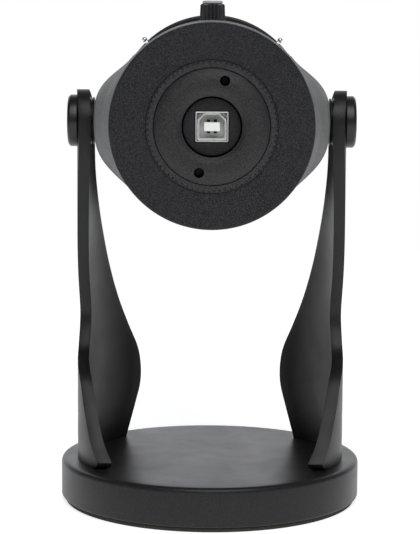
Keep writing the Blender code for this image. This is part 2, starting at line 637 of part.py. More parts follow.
def oval(obj, width, depth, radius):
    """Stretches a round piece about the microphone's axis to an oval of these half sizes."""
    for vertex in obj.data.vertices:
        vertex.co.x *= width / radius
        vertex.co.y *= depth / radius
    return obj


def head():
    """Collar, plate, capsule on its post, foam liner and the domed grille with its band."""
    low = HOUSING_TOP + GAP
    top = low + COLLAR_H
    inner = BORE_R
    wide, deep = HEAD_WIDE, HEAD_DEEP
    profile = [(inner, low), (wide - 0.7 * MM, low), (wide, low + 0.7 * MM), (wide, low + 3.2 * MM)]
    profile += [(wide - 0.9 * MM, low + 3.6 * MM), (wide - 0.9 * MM, low + 4.6 * MM), (wide, low + 5.0 * MM)]
    profile += [(wide, top - 0.6 * MM), (wide - 0.6 * MM, top), (inner, top)]
    oval(turned("collar_ring", profile, PAINT, parent=mic), wide, deep, wide)
    plate_top = low + 2.2 * MM
    plate = turned("head_plate", rod(inner - GAP, low, plate_top), BLACK, parent=mic, steps=32)
    shape = [(0.0, low - 5 * MM), (1.2 * MM, low - 5 * MM), (1.2 * MM, plate_top + GAP)]
    shape += [(2.4 * MM, plate_top + GAP), (2.4 * MM, plate_top + 1.8 * MM), (0.0, plate_top + 1.8 * MM)]
    for name, x in (("left", -28.8 * MM), ("right", 28.8 * MM)):
        place = {"parent": mic, "at": (x, 2.3 * MM, 0), "steps": 12}
        cut(plate, turned("head_screw_hole", rod(1.5 * MM, low - 2 * MM, low + 6 * MM), None, **place))
        turned("head_screw_" + name, shape, STEEL, **place)
    ring_r = CAPSULE_R + 3.0 * MM
    post_low, post_top = plate_top + GAP, CAPSULE_Z - ring_r - 2 * GAP
    post = [(0.0, post_low), (10 * MM, post_low), (10 * MM, post_low + 2 * MM), (5 * MM, post_low + 5 * MM)]
    turned("capsule_post", [*post, (5 * MM, post_top), (0.0, post_top)], BLACK, parent=mic, steps=COARSE)
    turned("capsule_ring", tube(CAPSULE_R + GAP, ring_r, -6.5 * MM, 6.5 * MM), BLACK, parent=mic, steps=32,
           at=(0, 0, CAPSULE_Z), turn=FACING_FRONT)
    disc = [(0.0, 0.4 * MM), (CAPSULE_R, 0.4 * MM), (CAPSULE_R, 6.0 * MM), (CAPSULE_R - 1.5 * MM, 6.6 * MM)]
    disc += [(CAPSULE_R - 2.5 * MM, 5.8 * MM), (0.0, 5.8 * MM)]
    for name, turn in (("front", FACING_FRONT), ("back", FACING_BACK)):
        turned("capsule_" + name, disc, BRASS, parent=mic, steps=32, at=(0, 0, CAPSULE_Z), turn=turn)
    outer, grille_low = wide - GRILLE_STEP, top + GAP
    head_shell("foam_liner", outer - 1.2 * MM - GAP, 2.0 * MM, grille_low, FOAM, FINE)
    head_shell("grille", outer, 1.2 * MM, grille_low, MESH, FINE)
    band_z = CAPSULE_Z - 24 * MM
    shape = tube(outer + GAP, outer + 1.5 * MM, band_z, band_z + 4 * MM)
    band = turned("grille_band", shape, PAINT, parent=mic)
    oval(band, wide, deep, wide)


def head_shell(name, outer, wall, low, finish, steps):
    """Thin dome-topped oval shell, open at its foot."""
    corner = 27.0 * MM
    drop = HEAD_WIDE - GRILLE_STEP - outer

    def line(radius, top):
        return [(radius, low), *arc(radius - corner, top - corner, corner, 0, 80, 4), (0.0, top)]

    skin = line(outer, HEAD_TOP - drop)
    inside = line(outer - wall, HEAD_TOP - drop - wall)
    points, rings = [], []
    for r, z in skin + inside[::-1]:
        rings.append([])
        count = 1 if r < 1e-7 else steps
        for i in range(count):
            turn = 2.0 * math.pi * i / steps
            rings[-1].append(len(points))
            points.append((r * math.cos(turn), r * math.sin(turn), z))
    faces = []
    for lower, upper in zip(rings, rings[1:] + rings[:1]):
        if len(lower) > 1 or len(upper) > 1:
            faces += rings_to_faces([lower, upper], steps, closed=False)
    shell = solid(name, points, faces, finish, parent=mic)
    return oval(shell, HEAD_WIDE, HEAD_DEEP, HEAD_WIDE)


# ---------------------------------------------------------------- build
base_casting = base()
blades = [arm("left_arm", -1), arm("right_arm", 1)]
arm_screws(base_casting, blades)
for side_name, side_sign in (("left", -1), ("right", 1)):
    spacer(side_name + "_spacer", side_sign)
    pivot_knob(side_name, side_sign)
housing()
socket_end()
usb_socket()
controls()
electronics()
head()
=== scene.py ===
"""Looks of a desk-top USB microphone on a yoke stand, with its socket end facing front."""

import math

import bmesh
import bpy
from mathutils import Matrix, Vector


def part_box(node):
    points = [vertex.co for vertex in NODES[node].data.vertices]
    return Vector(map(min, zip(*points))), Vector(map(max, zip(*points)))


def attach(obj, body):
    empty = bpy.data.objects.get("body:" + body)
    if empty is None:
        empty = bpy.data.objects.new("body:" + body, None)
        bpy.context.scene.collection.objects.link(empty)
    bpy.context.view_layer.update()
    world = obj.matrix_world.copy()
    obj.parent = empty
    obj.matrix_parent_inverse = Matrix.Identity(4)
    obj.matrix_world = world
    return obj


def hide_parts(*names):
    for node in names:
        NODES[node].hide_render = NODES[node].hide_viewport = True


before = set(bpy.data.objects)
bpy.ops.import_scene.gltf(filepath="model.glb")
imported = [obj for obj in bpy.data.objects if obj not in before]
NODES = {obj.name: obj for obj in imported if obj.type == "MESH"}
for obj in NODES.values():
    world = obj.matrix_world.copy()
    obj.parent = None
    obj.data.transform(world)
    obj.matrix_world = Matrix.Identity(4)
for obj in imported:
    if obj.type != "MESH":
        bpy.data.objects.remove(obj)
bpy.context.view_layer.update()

MM = 0.001

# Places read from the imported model
PIVOT = (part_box("left_pivot_bolt")[0].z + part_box("left_pivot_bolt")[1].z) / 2
BASE_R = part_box("base_casting")[1].x
BASE_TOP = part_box("base_casting")[1].z
BASE_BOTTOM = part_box("base_casting")[0].z
BALLAST_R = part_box("ballast_disc")[1].x
BALLAST_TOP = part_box("ballast_disc")[1].z
PAD_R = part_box("foot_pad")[1].x
PAD_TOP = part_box("foot_pad")[1].z
ARM_OUTER_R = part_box("right_arm")[1].x
ARM_BOTTOM, ARM_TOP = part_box("right_arm")[0].z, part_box("right_arm")[1].z
EAR_R = ARM_TOP - PIVOT
KNOB_IN, KNOB_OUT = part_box("right_knob")[0].x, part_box("right_knob")[1].x
KNOB_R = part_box("right_knob")[1].z - PIVOT
SPACER_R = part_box("right_spacer")[1].z - PIVOT
SHOULDER_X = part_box("housing")[1].x
HOUSING_LOW, HOUSING_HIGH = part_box("housing")[0].y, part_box("housing")[1].y
END_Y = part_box("end_cap")[0].y
CAP_INNER_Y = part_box("end_cap")[1].y
CAP_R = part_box("end_cap")[1].x
RING_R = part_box("knurled_ring")[1].x
RING_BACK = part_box("knurled_ring")[1].y
BOSS_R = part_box("socket_boss")[1].x
PLATE_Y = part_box("socket_plate")[0].y
PLATE_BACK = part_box("socket_plate")[1].y
USB_FRONT, USB_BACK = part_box("usb_shell")[0].y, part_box("usb_shell")[1].y
PANEL_LOW, PANEL_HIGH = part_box("control_panel")[0].y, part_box("control_panel")[1].y
PANEL_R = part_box("control_panel")[1].z - PIVOT
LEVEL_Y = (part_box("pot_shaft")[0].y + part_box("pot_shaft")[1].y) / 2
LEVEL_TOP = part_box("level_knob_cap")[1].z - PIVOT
TOGGLE_Y = LEVEL_Y
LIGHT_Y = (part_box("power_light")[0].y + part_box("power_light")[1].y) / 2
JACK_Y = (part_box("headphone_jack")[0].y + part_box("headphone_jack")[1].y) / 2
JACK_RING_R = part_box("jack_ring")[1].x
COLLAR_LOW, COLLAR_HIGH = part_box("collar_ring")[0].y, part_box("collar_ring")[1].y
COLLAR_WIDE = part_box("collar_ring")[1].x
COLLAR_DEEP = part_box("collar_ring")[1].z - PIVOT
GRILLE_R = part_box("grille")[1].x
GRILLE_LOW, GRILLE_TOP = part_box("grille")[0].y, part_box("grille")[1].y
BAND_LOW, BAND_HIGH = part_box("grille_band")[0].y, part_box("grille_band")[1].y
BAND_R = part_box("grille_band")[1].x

# Sizes that follow the model's own design
ARM_THICK = 4.6 * MM
BOLT_HOLE_R = 3.3 * MM
KNOB_SEAT_R = 11.0 * MM
BORE_R = 35.0 * MM
HOLE_R = 11.0 * MM
TOGGLE_ANGLE = 39.3
TOGGLE_PIVOT_R = PANEL_R - 3.2 * MM
PANEL_HALF_ANGLE = 50.0
BOSS_SCREW_PCR = 17.1 * MM
BOSS_SCREW_TILT = 15.5
BOSS_HOLE_R = 1.85 * MM
DEEPER = COLLAR_DEEP / COLLAR_WIDE  # the head is a little deeper than wide
DOME_R = 27.0 * MM
GAP = 0.3 * MM
ARM_SCREWS = [f"{side}_arm_screw_{end}" for side in ("left", "right") for end in ("front", "back")]
MIC = Matrix.Translation((0.0, 0.0, PIVOT)) @ Matrix.Rotation(math.radians(-90.0), 4, "X")


# ---------------------------------------------------------------- shapes
def rounded(corners, closed=True, count=4):
    """Outline through (x, y, cut) corners; each corner with a cut is rounded off."""
    outline, total = [], len(corners)
    for i, (x, y, cut) in enumerate(corners):
        here = Vector((x, y))
        if cut <= 0.0 or (not closed and i in (0, total - 1)):
            outline.append((x, y))
            continue
        before, after = (Vector(corners[(i + step) % total][:2]) for step in (-1, 1))
        start = here + (before - here).normalized() * min(cut, 0.48 * (before - here).length)
        end = here + (after - here).normalized() * min(cut, 0.48 * (after - here).length)
        for k in range(count + 1):
            s = k / count
            spot = start * (1 - s) ** 2 + here * 2 * s * (1 - s) + end * s**2
            outline.append((spot.x, spot.y))
    return outline


def arc(centre_x, centre_y, radius, start, end, count=8):
    """Points on an arc, with angles in degrees from +x towards +y."""
    angles = [math.radians(start + (end - start) * i / count) for i in range(count + 1)]
    return [(centre_x + radius * math.cos(a), centre_y + radius * math.sin(a)) for a in angles]


def bridge(rings, closed):
    """Quads between equal rings of point numbers; a ring of one point is a pole."""
    faces = []
    pairs = list(zip(rings, rings[1:]))
    if closed:
        pairs.append((rings[-1], rings[0]))
    for low, high in pairs:
        count = max(len(low), len(high))
        for i in range(count if count > 1 else 0):
            j = (i + 1) % count
            if len(low) == 1:
                faces.append((low[0], high[j], high[i]))
            elif len(high) == 1:
                faces.append((low[i], low[j], high[0]))
            else:
                faces.append((low[i], low[j], high[j], high[i]))
    return faces


def lathe(profile, steps=128, radius_of=None, deeper=1.0):
    """Turned shape about +Z from (radius, height) pairs; radius_of(r, z, turn) may wave it."""
    points, rings = [], []
    for r, z in profile:
        rings.append([])
        for i in range(steps if r > 1e-7 else 1):
            turn = 2.0 * math.pi * i / steps
            here = radius_of(r, z, turn) if radius_of else r
            rings[-1].append(len(points))
            points.append((here * math.cos(turn), deeper * here * math.sin(turn), z))
    return points, bridge(rings, closed=len(rings[0]) > 1)


def pin(radius, low, high, steps=32):
    """Closed cylinder about +Z, mostly used as a cutter."""
    return lathe([(0, low), (radius, low), (radius, high), (0, high)], steps)


def slab(outline, low, high):
    """Flat outline in X and Y, extruded along Z."""
    count = len(outline)
    points = [(x, y, z) for z in (low, high) for x, y in outline]
    faces = [tuple(range(count)), tuple(range(count, 2 * count))]
    faces += [(i, (i + 1) % count, count + (i + 1) % count, count + i) for i in range(count)]
    return points, faces


def box_outline(width, height, cut=0.0):
    """Rectangle about the origin, its corners rounded off by `cut`."""
    w, h = width / 2, height / 2
    return rounded([(-w, -h, cut), (w, -h, cut), (w, h, cut), (-w, h, cut)])


def make(name, shape, place=None):
    """A mesh object from (points, faces), with its place put into the mesh."""
    mesh = bpy.data.meshes.new(name)
    points = [Vector(p) for p in shape[0]]
    mesh.from_pydata([place @ p if place else p for p in points], [], shape[1])
    bm = bmesh.new()
    bm.from_mesh(mesh)
    bmesh.ops.recalc_face_normals(bm, faces=bm.faces)
    bm.to_mesh(mesh)
    bm.free()
    obj = bpy.data.objects.new(name, mesh)
    bpy.context.scene.collection.objects.link(obj)
    return obj


def bake_modifiers(obj):
    """Puts the result of the object's modifiers into its mesh."""
    bpy.context.view_layer.update()
    graph = bpy.context.evaluated_depsgraph_get()
    mesh = bpy.data.meshes.new_from_object(obj.evaluated_get(graph))
    obj.modifiers.clear()
    old, obj.data = obj.data, mesh
    bpy.data.meshes.remove(old)


def carve(obj, shapes, place=None):
    """Cuts the given shapes out of the object."""
    for shape in shapes:
        cutter = make("cutter", shape, place)
        boolean = obj.modifiers.new("carve", "BOOLEAN")
        boolean.operation = "DIFFERENCE"
        boolean.solver = "EXACT"
        boolean.object = cutter
        bake_modifiers(obj)
        bpy.data.objects.remove(cutter)
    return obj


def soften(obj, width, segments=2, angle=40.0):
    """Rounds the object's sharp edges."""
    bevel = obj.modifiers.new("soften", "BEVEL")
    bevel.width = width
    bevel.segments = segments
    bevel.limit_method = "ANGLE"
    bevel.angle_limit = math.radians(angle)
    bevel.use_clamp_overlap = True
    bake_modifiers(obj)
    return obj


def dress(obj, finish, body, slot, *nodes, sharp=32.0):
    """Gives a piece its finish and its body, and hides the CAD nodes it stands for."""
    obj.data.materials.clear()
    obj.data.materials.append(finish)
    obj.data.shade_smooth()
    obj.data.set_sharp_from_angle(angle=math.radians(sharp))
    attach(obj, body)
    if nodes:
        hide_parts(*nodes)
    return obj


# ---------------------------------------------------------------- finishes
class Finish:
    """A Principled material and short calls that add procedural detail to it."""

    def __init__(self, name, metallic=0.0, specular=0.5, coat=0.0):
        self.material = bpy.data.materials.new(name)
        self.material.use_nodes = True
        self.tree = self.material.node_tree
        self.shader = self.tree.nodes["Principled BSDF"]
        self.shader.inputs["Metallic"].default_value = metallic
        self.shader.inputs["Specular IOR Level"].default_value = specular
        self.shader.inputs["Coat Weight"].default_value = coat
        self.shader.inputs["IOR"].default_value = 1.5
        self.place = self.add("ShaderNodeTexCoord").outputs["Object"]

    def add(self, kind, **settings):
        node = self.tree.nodes.new(kind)
        for key, value in settings.items():
            setattr(node, key, value)
        return node

    def join(self, source, target):
        self.tree.links.new(source, target)

    def noise(self, size, detail=3.0, stretch=(1.0, 1.0, 1.0), distortion=0.0):
        """Noise with features of about `size` metres, stretched along each axis."""
        mapping = self.add("ShaderNodeMapping")
        mapping.inputs["Scale"].default_value = [1.0 / s for s in stretch]
        self.join(self.place, mapping.inputs["Vector"])
        noise = self.add("ShaderNodeTexNoise")
        noise.inputs["Scale"].default_value = 1.0 / size
        noise.inputs["Detail"].default_value = detail
        noise.inputs["Distortion"].default_value = distortion
        self.join(mapping.outputs["Vector"], noise.inputs["Vector"])
        return noise.outputs["Fac"]

    def cells(self, size):
        voronoi = self.add("ShaderNodeTexVoronoi", feature="F1")
        voronoi.inputs["Scale"].default_value = 1.0 / size
        self.join(self.place, voronoi.inputs["Vector"])
        return voronoi.outputs["Distance"]

    def rings(self, size):
        """Fine turning marks in rings round the object's Y axis."""
        wave = self.add("ShaderNodeTexWave", wave_type="RINGS", rings_direction="Y")
        wave.inputs["Scale"].default_value = 1.0 / size
        wave.inputs["Distortion"].default_value = 0.4
        self.join(self.place, wave.inputs["Vector"])
        return wave.outputs["Fac"]

    def spread(self, fac, low, high, start=0.3, end=0.7):
        """A factor remapped to run from low to high."""
        node = self.add("ShaderNodeMapRange")
        node.inputs["From Min"].default_value = start
        node.inputs["From Max"].default_value = end
        node.inputs["To Min"].default_value = low
        node.inputs["To Max"].default_value = high
        self.join(fac, node.inputs["Value"])
        return node.outputs["Result"]

    def ramp(self, fac, stops):
        node = self.add("ShaderNodeValToRGB")
        elements = node.color_ramp.elements
        while len(elements) < len(stops):
            elements.new(0.5)
        for element, (position, colour) in zip(elements, stops):
            element.position = position
            element.color = (*colour, 1.0)
        self.join(fac, node.inputs["Fac"])
        return node.outputs["Color"]

    def mix(self, fac, first, second):
        """Mix of two colours; each input is a number, a colour or another node's output."""
        node = self.add("ShaderNodeMix", data_type="RGBA")
        for number, value in ((0, fac), (6, first), (7, second)):
            socket = node.inputs[number]
            if isinstance(value, tuple):
                socket.default_value = (*value, 1.0)
            elif isinstance(value, float):
                socket.default_value = value
            else:
                self.join(value, socket)
        return node.outputs[2]

    def colour(self, output):
        self.join(output, self.shader.inputs["Base Color"])
        return self

    def rough(self, output):
        self.join(output, self.shader.inputs["Roughness"])
        return self

    def bumps(self, *layers):
        """Bump layers of (height, depth in metres, strength), the coarsest first."""
        normal = None
        for height, depth, strength in layers:
            node = self.add("ShaderNodeBump")
            node.inputs["Distance"].default_value = depth
            node.inputs["Strength"].default_value = strength
            self.join(height, node.inputs["Height"])
            if normal:
                self.join(normal, node.inputs["Normal"])
            normal = node.outputs["Normal"]
        self.join(normal, self.shader.inputs["Normal"])
        return self


def grey(level):
    """A near-neutral colour, a little cool like black paint in daylight."""
    return (level, level * 1.01, level * 1.10)


def coated(name, dark, light, grain, depth, rough=(0.5, 0.62), specular=0.5):
    """Textured coat: sandy grain, fine speckle, broad sheen changes and small rubbed spots."""
    made = Finish(name, specular=specular)
    sand = made.noise(grain, detail=4.0)
    pebble = made.cells(grain * 1.6)
    speckle = made.ramp(sand, [(0.42, grey(dark)), (0.60, grey(light))])
    broad = made.spread(made.noise(22 * MM, detail=2.0), 0.0, 0.35)
    shaded = made.mix(broad, speckle, grey(0.5 * (dark + light)))
    rubbed = made.spread(made.noise(2.4 * MM, detail=6.0), 0.0, 0.5, 0.66, 0.80)
    made.colour(made.mix(rubbed, shaded, grey(light * 1.8)))
    made.rough(made.spread(made.noise(14 * MM, detail=5.0, distortion=0.6), *rough))
    waves = made.noise(9 * MM)
    made.bumps((waves, 0.008 * MM, 0.25), (pebble, depth * 0.6, 0.5), (sand, depth, 0.75))
    return made.material


def plastic(name, dark, light, rough=(0.34, 0.46), depth=0.02 * MM, specular=0.5):
    """Moulded plastic: faint flow marks, fine grain and handling haze."""
    made = Finish(name, specular=specular)
    flow = made.noise(12 * MM, detail=3.0, stretch=(1.0, 2.5, 1.0), distortion=0.8)
    handled = made.spread(made.noise(1.6 * MM, detail=6.0), 0.0, 0.4, 0.64, 0.80)
    made.colour(made.mix(handled, made.ramp(flow, [(0.3, dark), (0.7, light)]),
                         tuple(min(1.0, c * 1.25 + 0.01) for c in light)))
    made.rough(made.spread(made.noise(5 * MM, detail=5.0), *rough))
    made.bumps((made.noise(0.30 * MM, detail=3.0), depth, 0.5), (made.noise(4 * MM), depth, 0.2))
    return made.material


def metal(name, dark, light, rough=(0.18, 0.34), grain=0.4 * MM):
    """Worked metal: fine drawn lines, turning marks, smudges and dulled patches."""
    made = Finish(name, metallic=1.0)
    lines = made.noise(grain, detail=3.0, stretch=(1.0, 14.0, 1.0))
    smudge = made.noise(6 * MM, detail=4.0, distortion=1.0)
    tone = made.ramp(smudge, [(0.3, dark), (0.7, light)])
    made.colour(made.mix(made.spread(lines, 0.0, 0.3), tone, tuple(c * 0.72 for c in dark)))
    made.rough(made.spread(made.noise(3 * MM, detail=5.0), *rough))
    made.bumps((made.rings(0.5 * MM), 0.004 * MM, 0.3), (lines, 0.006 * MM, 0.5))
    return made.material


def foam(name, dark, light, pore, depth):
    """Open-cell foam or sponge rubber: pores, dusty cell walls and a matt surface."""
    made = Finish(name, specular=0.25)
    pores = made.cells(pore)
    crumbs = made.noise(pore * 0.6, detail=4.0)
    tone = made.ramp(pores, [(0.15, dark), (0.75, light)])
    made.colour(made.mix(made.spread(crumbs, 0.0, 0.5), tone, light))
    made.rough(made.spread(crumbs, 0.86, 0.98))
    made.bumps((made.noise(6 * MM), 0.1 * MM, 0.3), (pores, depth, 0.9), (crumbs, depth * 0.5, 0.6))
    return made.material


def circuit_board(name):
    """Green solder mask with copper tracks under it, pale vias and dust."""
    made = Finish(name, specular=0.5, coat=0.3)
    brick = made.add("ShaderNodeTexBrick")
    brick.inputs["Scale"].default_value = 260.0
    brick.inputs["Mortar Size"].default_value = 0.06
    made.join(made.place, brick.inputs["Vector"])
    mask = made.ramp(made.noise(9 * MM), [(0.3, (0.010, 0.10, 0.045)), (0.7, (0.018, 0.15, 0.06))])
    tracks = made.mix(brick.outputs["Fac"], mask, (0.05, 0.24, 0.10))
    vias = made.spread(made.cells(2.6 * MM), 1.0, 0.0, 0.07, 0.10)
    made.colour(made.mix(vias, tracks, (0.72, 0.58, 0.30)))
    made.rough(made.spread(made.noise(4 * MM), 0.30, 0.48))
    made.bumps((brick.outputs["Fac"], 0.03 * MM, 0.5), (vias, 0.03 * MM, 0.4))
    return made.material


def lens(name):
    """Green light pipe: clear plastic with faint streaks; its bright green colour is a painted glow."""
    made = Finish(name, specular=0.6, coat=0.5)
    streak = made.noise(0.8 * MM, detail=2.0, stretch=(1.0, 1.0, 5.0))
    # Bright green ramp: the light's glow painted into its colour.
    made.colour(made.ramp(streak, [(0.3, (0.02, 0.30, 0.07)), (0.7, (0.06, 0.50, 0.14))]))
    made.rough(made.spread(made.noise(1.5 * MM), 0.10, 0.22))
    made.bumps((streak, 0.01 * MM, 0.3))
    return made.material


END_COAT = coated("end_coat", 0.001, 0.040, 0.30 * MM, 0.34 * MM, rough=(0.50, 0.60), specular=0.24)
BOSS_COAT = coated(
    "boss_coat", 0.003, 0.032, 0.40 * MM, 0.22 * MM,
    rough=(0.42, 0.52), specular=0.40,
)
RING_COAT = coated(
    "ring_coat", 0.001, 0.046, 0.28 * MM, 0.20 * MM,
    rough=(0.40, 0.50), specular=0.40,
)
BODY_COAT = coated("body_coat", 0.014, 0.150, 0.36 * MM, 0.26 * MM, rough=(0.48, 0.58))
ARM_PAINT = coated(
    "arm_paint", 0.004, 0.011, 0.30 * MM, 0.06 * MM,
    rough=(0.38, 0.46), specular=0.36,
)
BASE_PAINT = coated(
    "base_paint", 0.008, 0.022, 0.34 * MM, 0.05 * MM,
    rough=(0.34, 0.40), specular=0.28,
)
COLLAR_COAT = coated("collar_coat", 0.006, 0.015, 0.30 * MM, 0.03 * MM, rough=(0.30, 0.40))
KNOB_PLASTIC = plastic("knob_plastic", grey(0.008), grey(0.014), rough=(0.28, 0.38), specular=0.42)
FLUTE_PLASTIC = plastic("flute_plastic", grey(0.016), grey(0.034), rough=(0.20, 0.28), specular=1.0)
PANEL_PLASTIC = plastic("panel_plastic", grey(0.006), grey(0.012), rough=(0.22, 0.34))
INNER_PLASTIC = plastic("inner_plastic", grey(0.014), grey(0.024), rough=(0.42, 0.56))
BLACK_OXIDE = metal("black_oxide", (0.018, 0.018, 0.020), (0.032, 0.032, 0.035), rough=(0.40, 0.52))
WHITE_PLASTIC = plastic("white_plastic", (0.90, 0.91, 0.91), (0.96, 0.97, 0.97), rough=(0.28, 0.40))
PRINT = plastic("panel_print", (0.62, 0.63, 0.64), (0.74, 0.75, 0.76), rough=(0.4, 0.5))
CAP_METAL = plastic(
    "cap_metal", (0.56, 0.57, 0.58), (0.68, 0.69, 0.70),
    rough=(0.26, 0.36), specular=0.7,
)
STEEL = metal("steel", (0.46, 0.46, 0.45), (0.62, 0.62, 0.60))
SHELL_STEEL = metal(
    "shell_steel", (0.72, 0.72, 0.70), (0.86, 0.86, 0.84),
    rough=(0.36, 0.46), grain=0.8 * MM,
)
CHROME = metal("chrome", (0.86, 0.87, 0.88), (0.94, 0.95, 0.96), rough=(0.24, 0.32))
GOLD = metal("gold", (0.70, 0.48, 0.18), (0.88, 0.66, 0.30), rough=(0.18, 0.30))
# Gold painted near black: painted shade of the contacts' slot, not the metal's own colour.
SHADE_PAINTED_GOLD = metal("gold_painted_shade", (0.020, 0.016, 0.010), (0.040, 0.032, 0.018), rough=(0.40, 0.55))
SOCKET_FACE = coated("socket_face", 0.004, 0.26, 0.55 * MM, 0.06 * MM, rough=(0.40, 0.55))
# White insulator walls painted grey: painted shade inside the socket's mouth.
SHADED_SOCKET_WALL = plastic(
    "socket_wall_painted_shade", (0.66, 0.68, 0.66), (0.80, 0.82, 0.80),
    rough=(0.22, 0.32), depth=0.004 * MM,
)
# White insulator floor painted darker grey still: painted shade deep in the socket.
SHADED_SOCKET_FLOOR = plastic("socket_floor_painted_shade", (0.42, 0.44, 0.42), (0.54, 0.56, 0.54), rough=(0.34, 0.46))
WIRE = metal("wire", (0.060, 0.060, 0.063), (0.110, 0.111, 0.115), rough=(0.34, 0.48))
IRON = metal("iron", (0.10, 0.10, 0.10), (0.18, 0.17, 0.17), rough=(0.55, 0.75), grain=1.2 * MM)
PAD_FOAM = foam("pad_foam", (0.020, 0.021, 0.018), (0.052, 0.054, 0.046), 0.45 * MM, 0.10 * MM)
LINER_FOAM = foam("liner_foam", (0.010, 0.010, 0.010), (0.035, 0.035, 0.036), 0.8 * MM, 0.25 * MM)
BOARD = circuit_board("board")
LENS_PAINTED_GLOW = lens("lens")


# ---------------------------------------------------------------- stand
def base():
    """Cast disc with a rounded rim, the ballast pocket underneath and its screw holes."""
    profile = [(0.0, BASE_TOP, 0), (BASE_R - 6 * MM, BASE_TOP, 0), (BASE_R, BASE_TOP, 2.2 * MM)]
    profile += [(BASE_R, BASE_BOTTOM, 0.8 * MM), (BALLAST_R + GAP, BASE_BOTTOM, 0.3 * MM)]
    profile += [(BALLAST_R + GAP, BALLAST_TOP + GAP, 0.3 * MM), (0.0, BALLAST_TOP + GAP, 0)]
    casting = make("base_body", lathe(rounded(profile, closed=False, count=6), steps=180))
    for node in ARM_SCREWS:
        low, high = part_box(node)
        head, shank, seat, end = 3.3 * MM, 1.8 * MM, 5.7 * MM, 30 * MM
        way = lathe([(0, 0), (head, 0), (head, seat), (shank, seat), (shank, end), (0, end)], 24)
        carve(casting, [way], Matrix.Translation(((low.x + high.x) / 2, (low.y + high.y) / 2, 0.0)))
    dress(casting, BASE_PAINT, "stand", "base_paint", "base_casting")


def foot_pad():
    profile = [(0.0, 0.0, 0), (PAD_R, 0.0, 0.5 * MM), (PAD_R, PAD_TOP, 0.4 * MM), (0.0, PAD_TOP, 0)]
    pad = make("foot_pad_skin", lathe(rounded(profile, closed=False), steps=160))
    dress(pad, PAD_FOAM, "stand", "black_rubber", "foot_pad")


# Edges of the blade as degrees about the stand's axis against height in mm; positive is backwards.
# The back edge is taken on the inner face and the front edge on the outer face.
BACK_EDGE = (
    (17.6, 43.5), (24, 46.3), (32, 49.6), (40, 52.4), (48, 52.7), (56, 50.8), (66, 45.0),
    (78, 38.0), (92, 31.0), (106, 25.0), (120, 19.6), (134, 15.6), (146, 14.7), (154, 14.7),
)
FRONT_EDGE = (
    (17.6, -31.0), (18.2, -33.4), (19, -34.5), (20.2, -35.0), (21.5, -34.1), (25, -30.8),
    (28.6, -28.1), (34, -25.1), (40, -21.6), (46, -18.3), (51, -14.5), (55, -8.5), (60, 0.6), (66, 4.8),
    (72, 7.0), (77, 7.1), (83, 5.2), (90, 2.4), (98, -0.8), (114, -5.6), (130, -9.6),
    (142, -12.4), (154, -13.4),
)


def along(table, value):
    """Smooth curve through (position, value) pairs."""
    last = len(table) - 1
    k = max((i for i in range(last) if table[i][0] <= value), default=0)

    def slope(i):
        low, high = table[max(i - 1, 0)], table[min(i + 1, last)]
        return (high[1] - low[1]) / (high[0] - low[0])

    (x0, y0), (x1, y1) = table[k], table[k + 1]
    span = x1 - x0
    t = min(1.0, max(0.0, (value - x0) / span))
    start, end = slope(k) * span, slope(k + 1) * span
    return (
        (2 * t**3 - 3 * t**2 + 1) * y0 + (t**3 - 2 * t**2 + t) * start
        + (3 * t**2 - 2 * t**3) * y1 + (t**3 - t**2) * end
    )


def blade_limits(z):
    """Front and back limit of the blade at height z, as distances along Y."""
    if z > PIVOT:
        half = math.sqrt(max(EAR_R**2 - (z - PIVOT) ** 2, 0.0))
        return -half, half
    front = ARM_OUTER_R * math.sin(math.radians(along(FRONT_EDGE, z / MM)))
    return front, (ARM_OUTER_R - ARM_THICK) * math.sin(math.radians(along(BACK_EDGE, z / MM)))


def blade(side):
    """Leaf-shaped sheet, cut from a cylinder shell about the stand's axis, with an ear on top."""
    rows = [BASE_TOP + 0.03 * MM, 18 * MM, 18.5 * MM, 19.2 * MM, 20.2 * MM, 21.2 * MM]
    rows += [22.5 * MM + (PIVOT - 22.5 * MM) * i / 64 for i in range(65)]
    ear_angles = (10, 20, 30, 40, 50, 59, 67, 74, 80, 85)
    rows += [PIVOT + EAR_R * math.sin(math.radians(a)) for a in ear_angles]
    columns, points, rings = 12, [], []
    for z in rows:
        front, back = blade_limits(z)
        rings.append([])
        for radius, step in ((ARM_OUTER_R, 1), (ARM_OUTER_R - ARM_THICK, -1)):
            start, end = math.asin(front / radius), math.asin(back / radius)
            turns = [start + (end - start) * i / columns for i in range(columns + 1)]
            for turn in turns[::step]:
                rings[-1].append(len(points))
                points.append((side * radius * math.cos(turn), radius * math.sin(turn), z))
    return points, bridge(rings, closed=False) + [tuple(rings[0]), tuple(rings[-1])]


def arms():
    for name, side in (("left", -1), ("right", 1)):
        leaf = soften(make(name + "_leaf", blade(side)), 0.55 * MM, segments=3, angle=55.0)
        sideways = Matrix.Rotation(math.radians(90.0 * side), 4, "Y")
        across = Matrix.Translation((0, 0, PIVOT)) @ sideways
        hole = pin(BOLT_HOLE_R, 40 * MM, 70 * MM)
        seat = pin(KNOB_SEAT_R, KNOB_IN - GAP, 70 * MM, steps=96)
        carve(leaf, [hole, seat], across)
        dress(leaf, ARM_PAINT, "stand", "arm_paint", name + "_arm", sharp=28.0)
        spacer(name, side)
        clamp_knob(name, across)


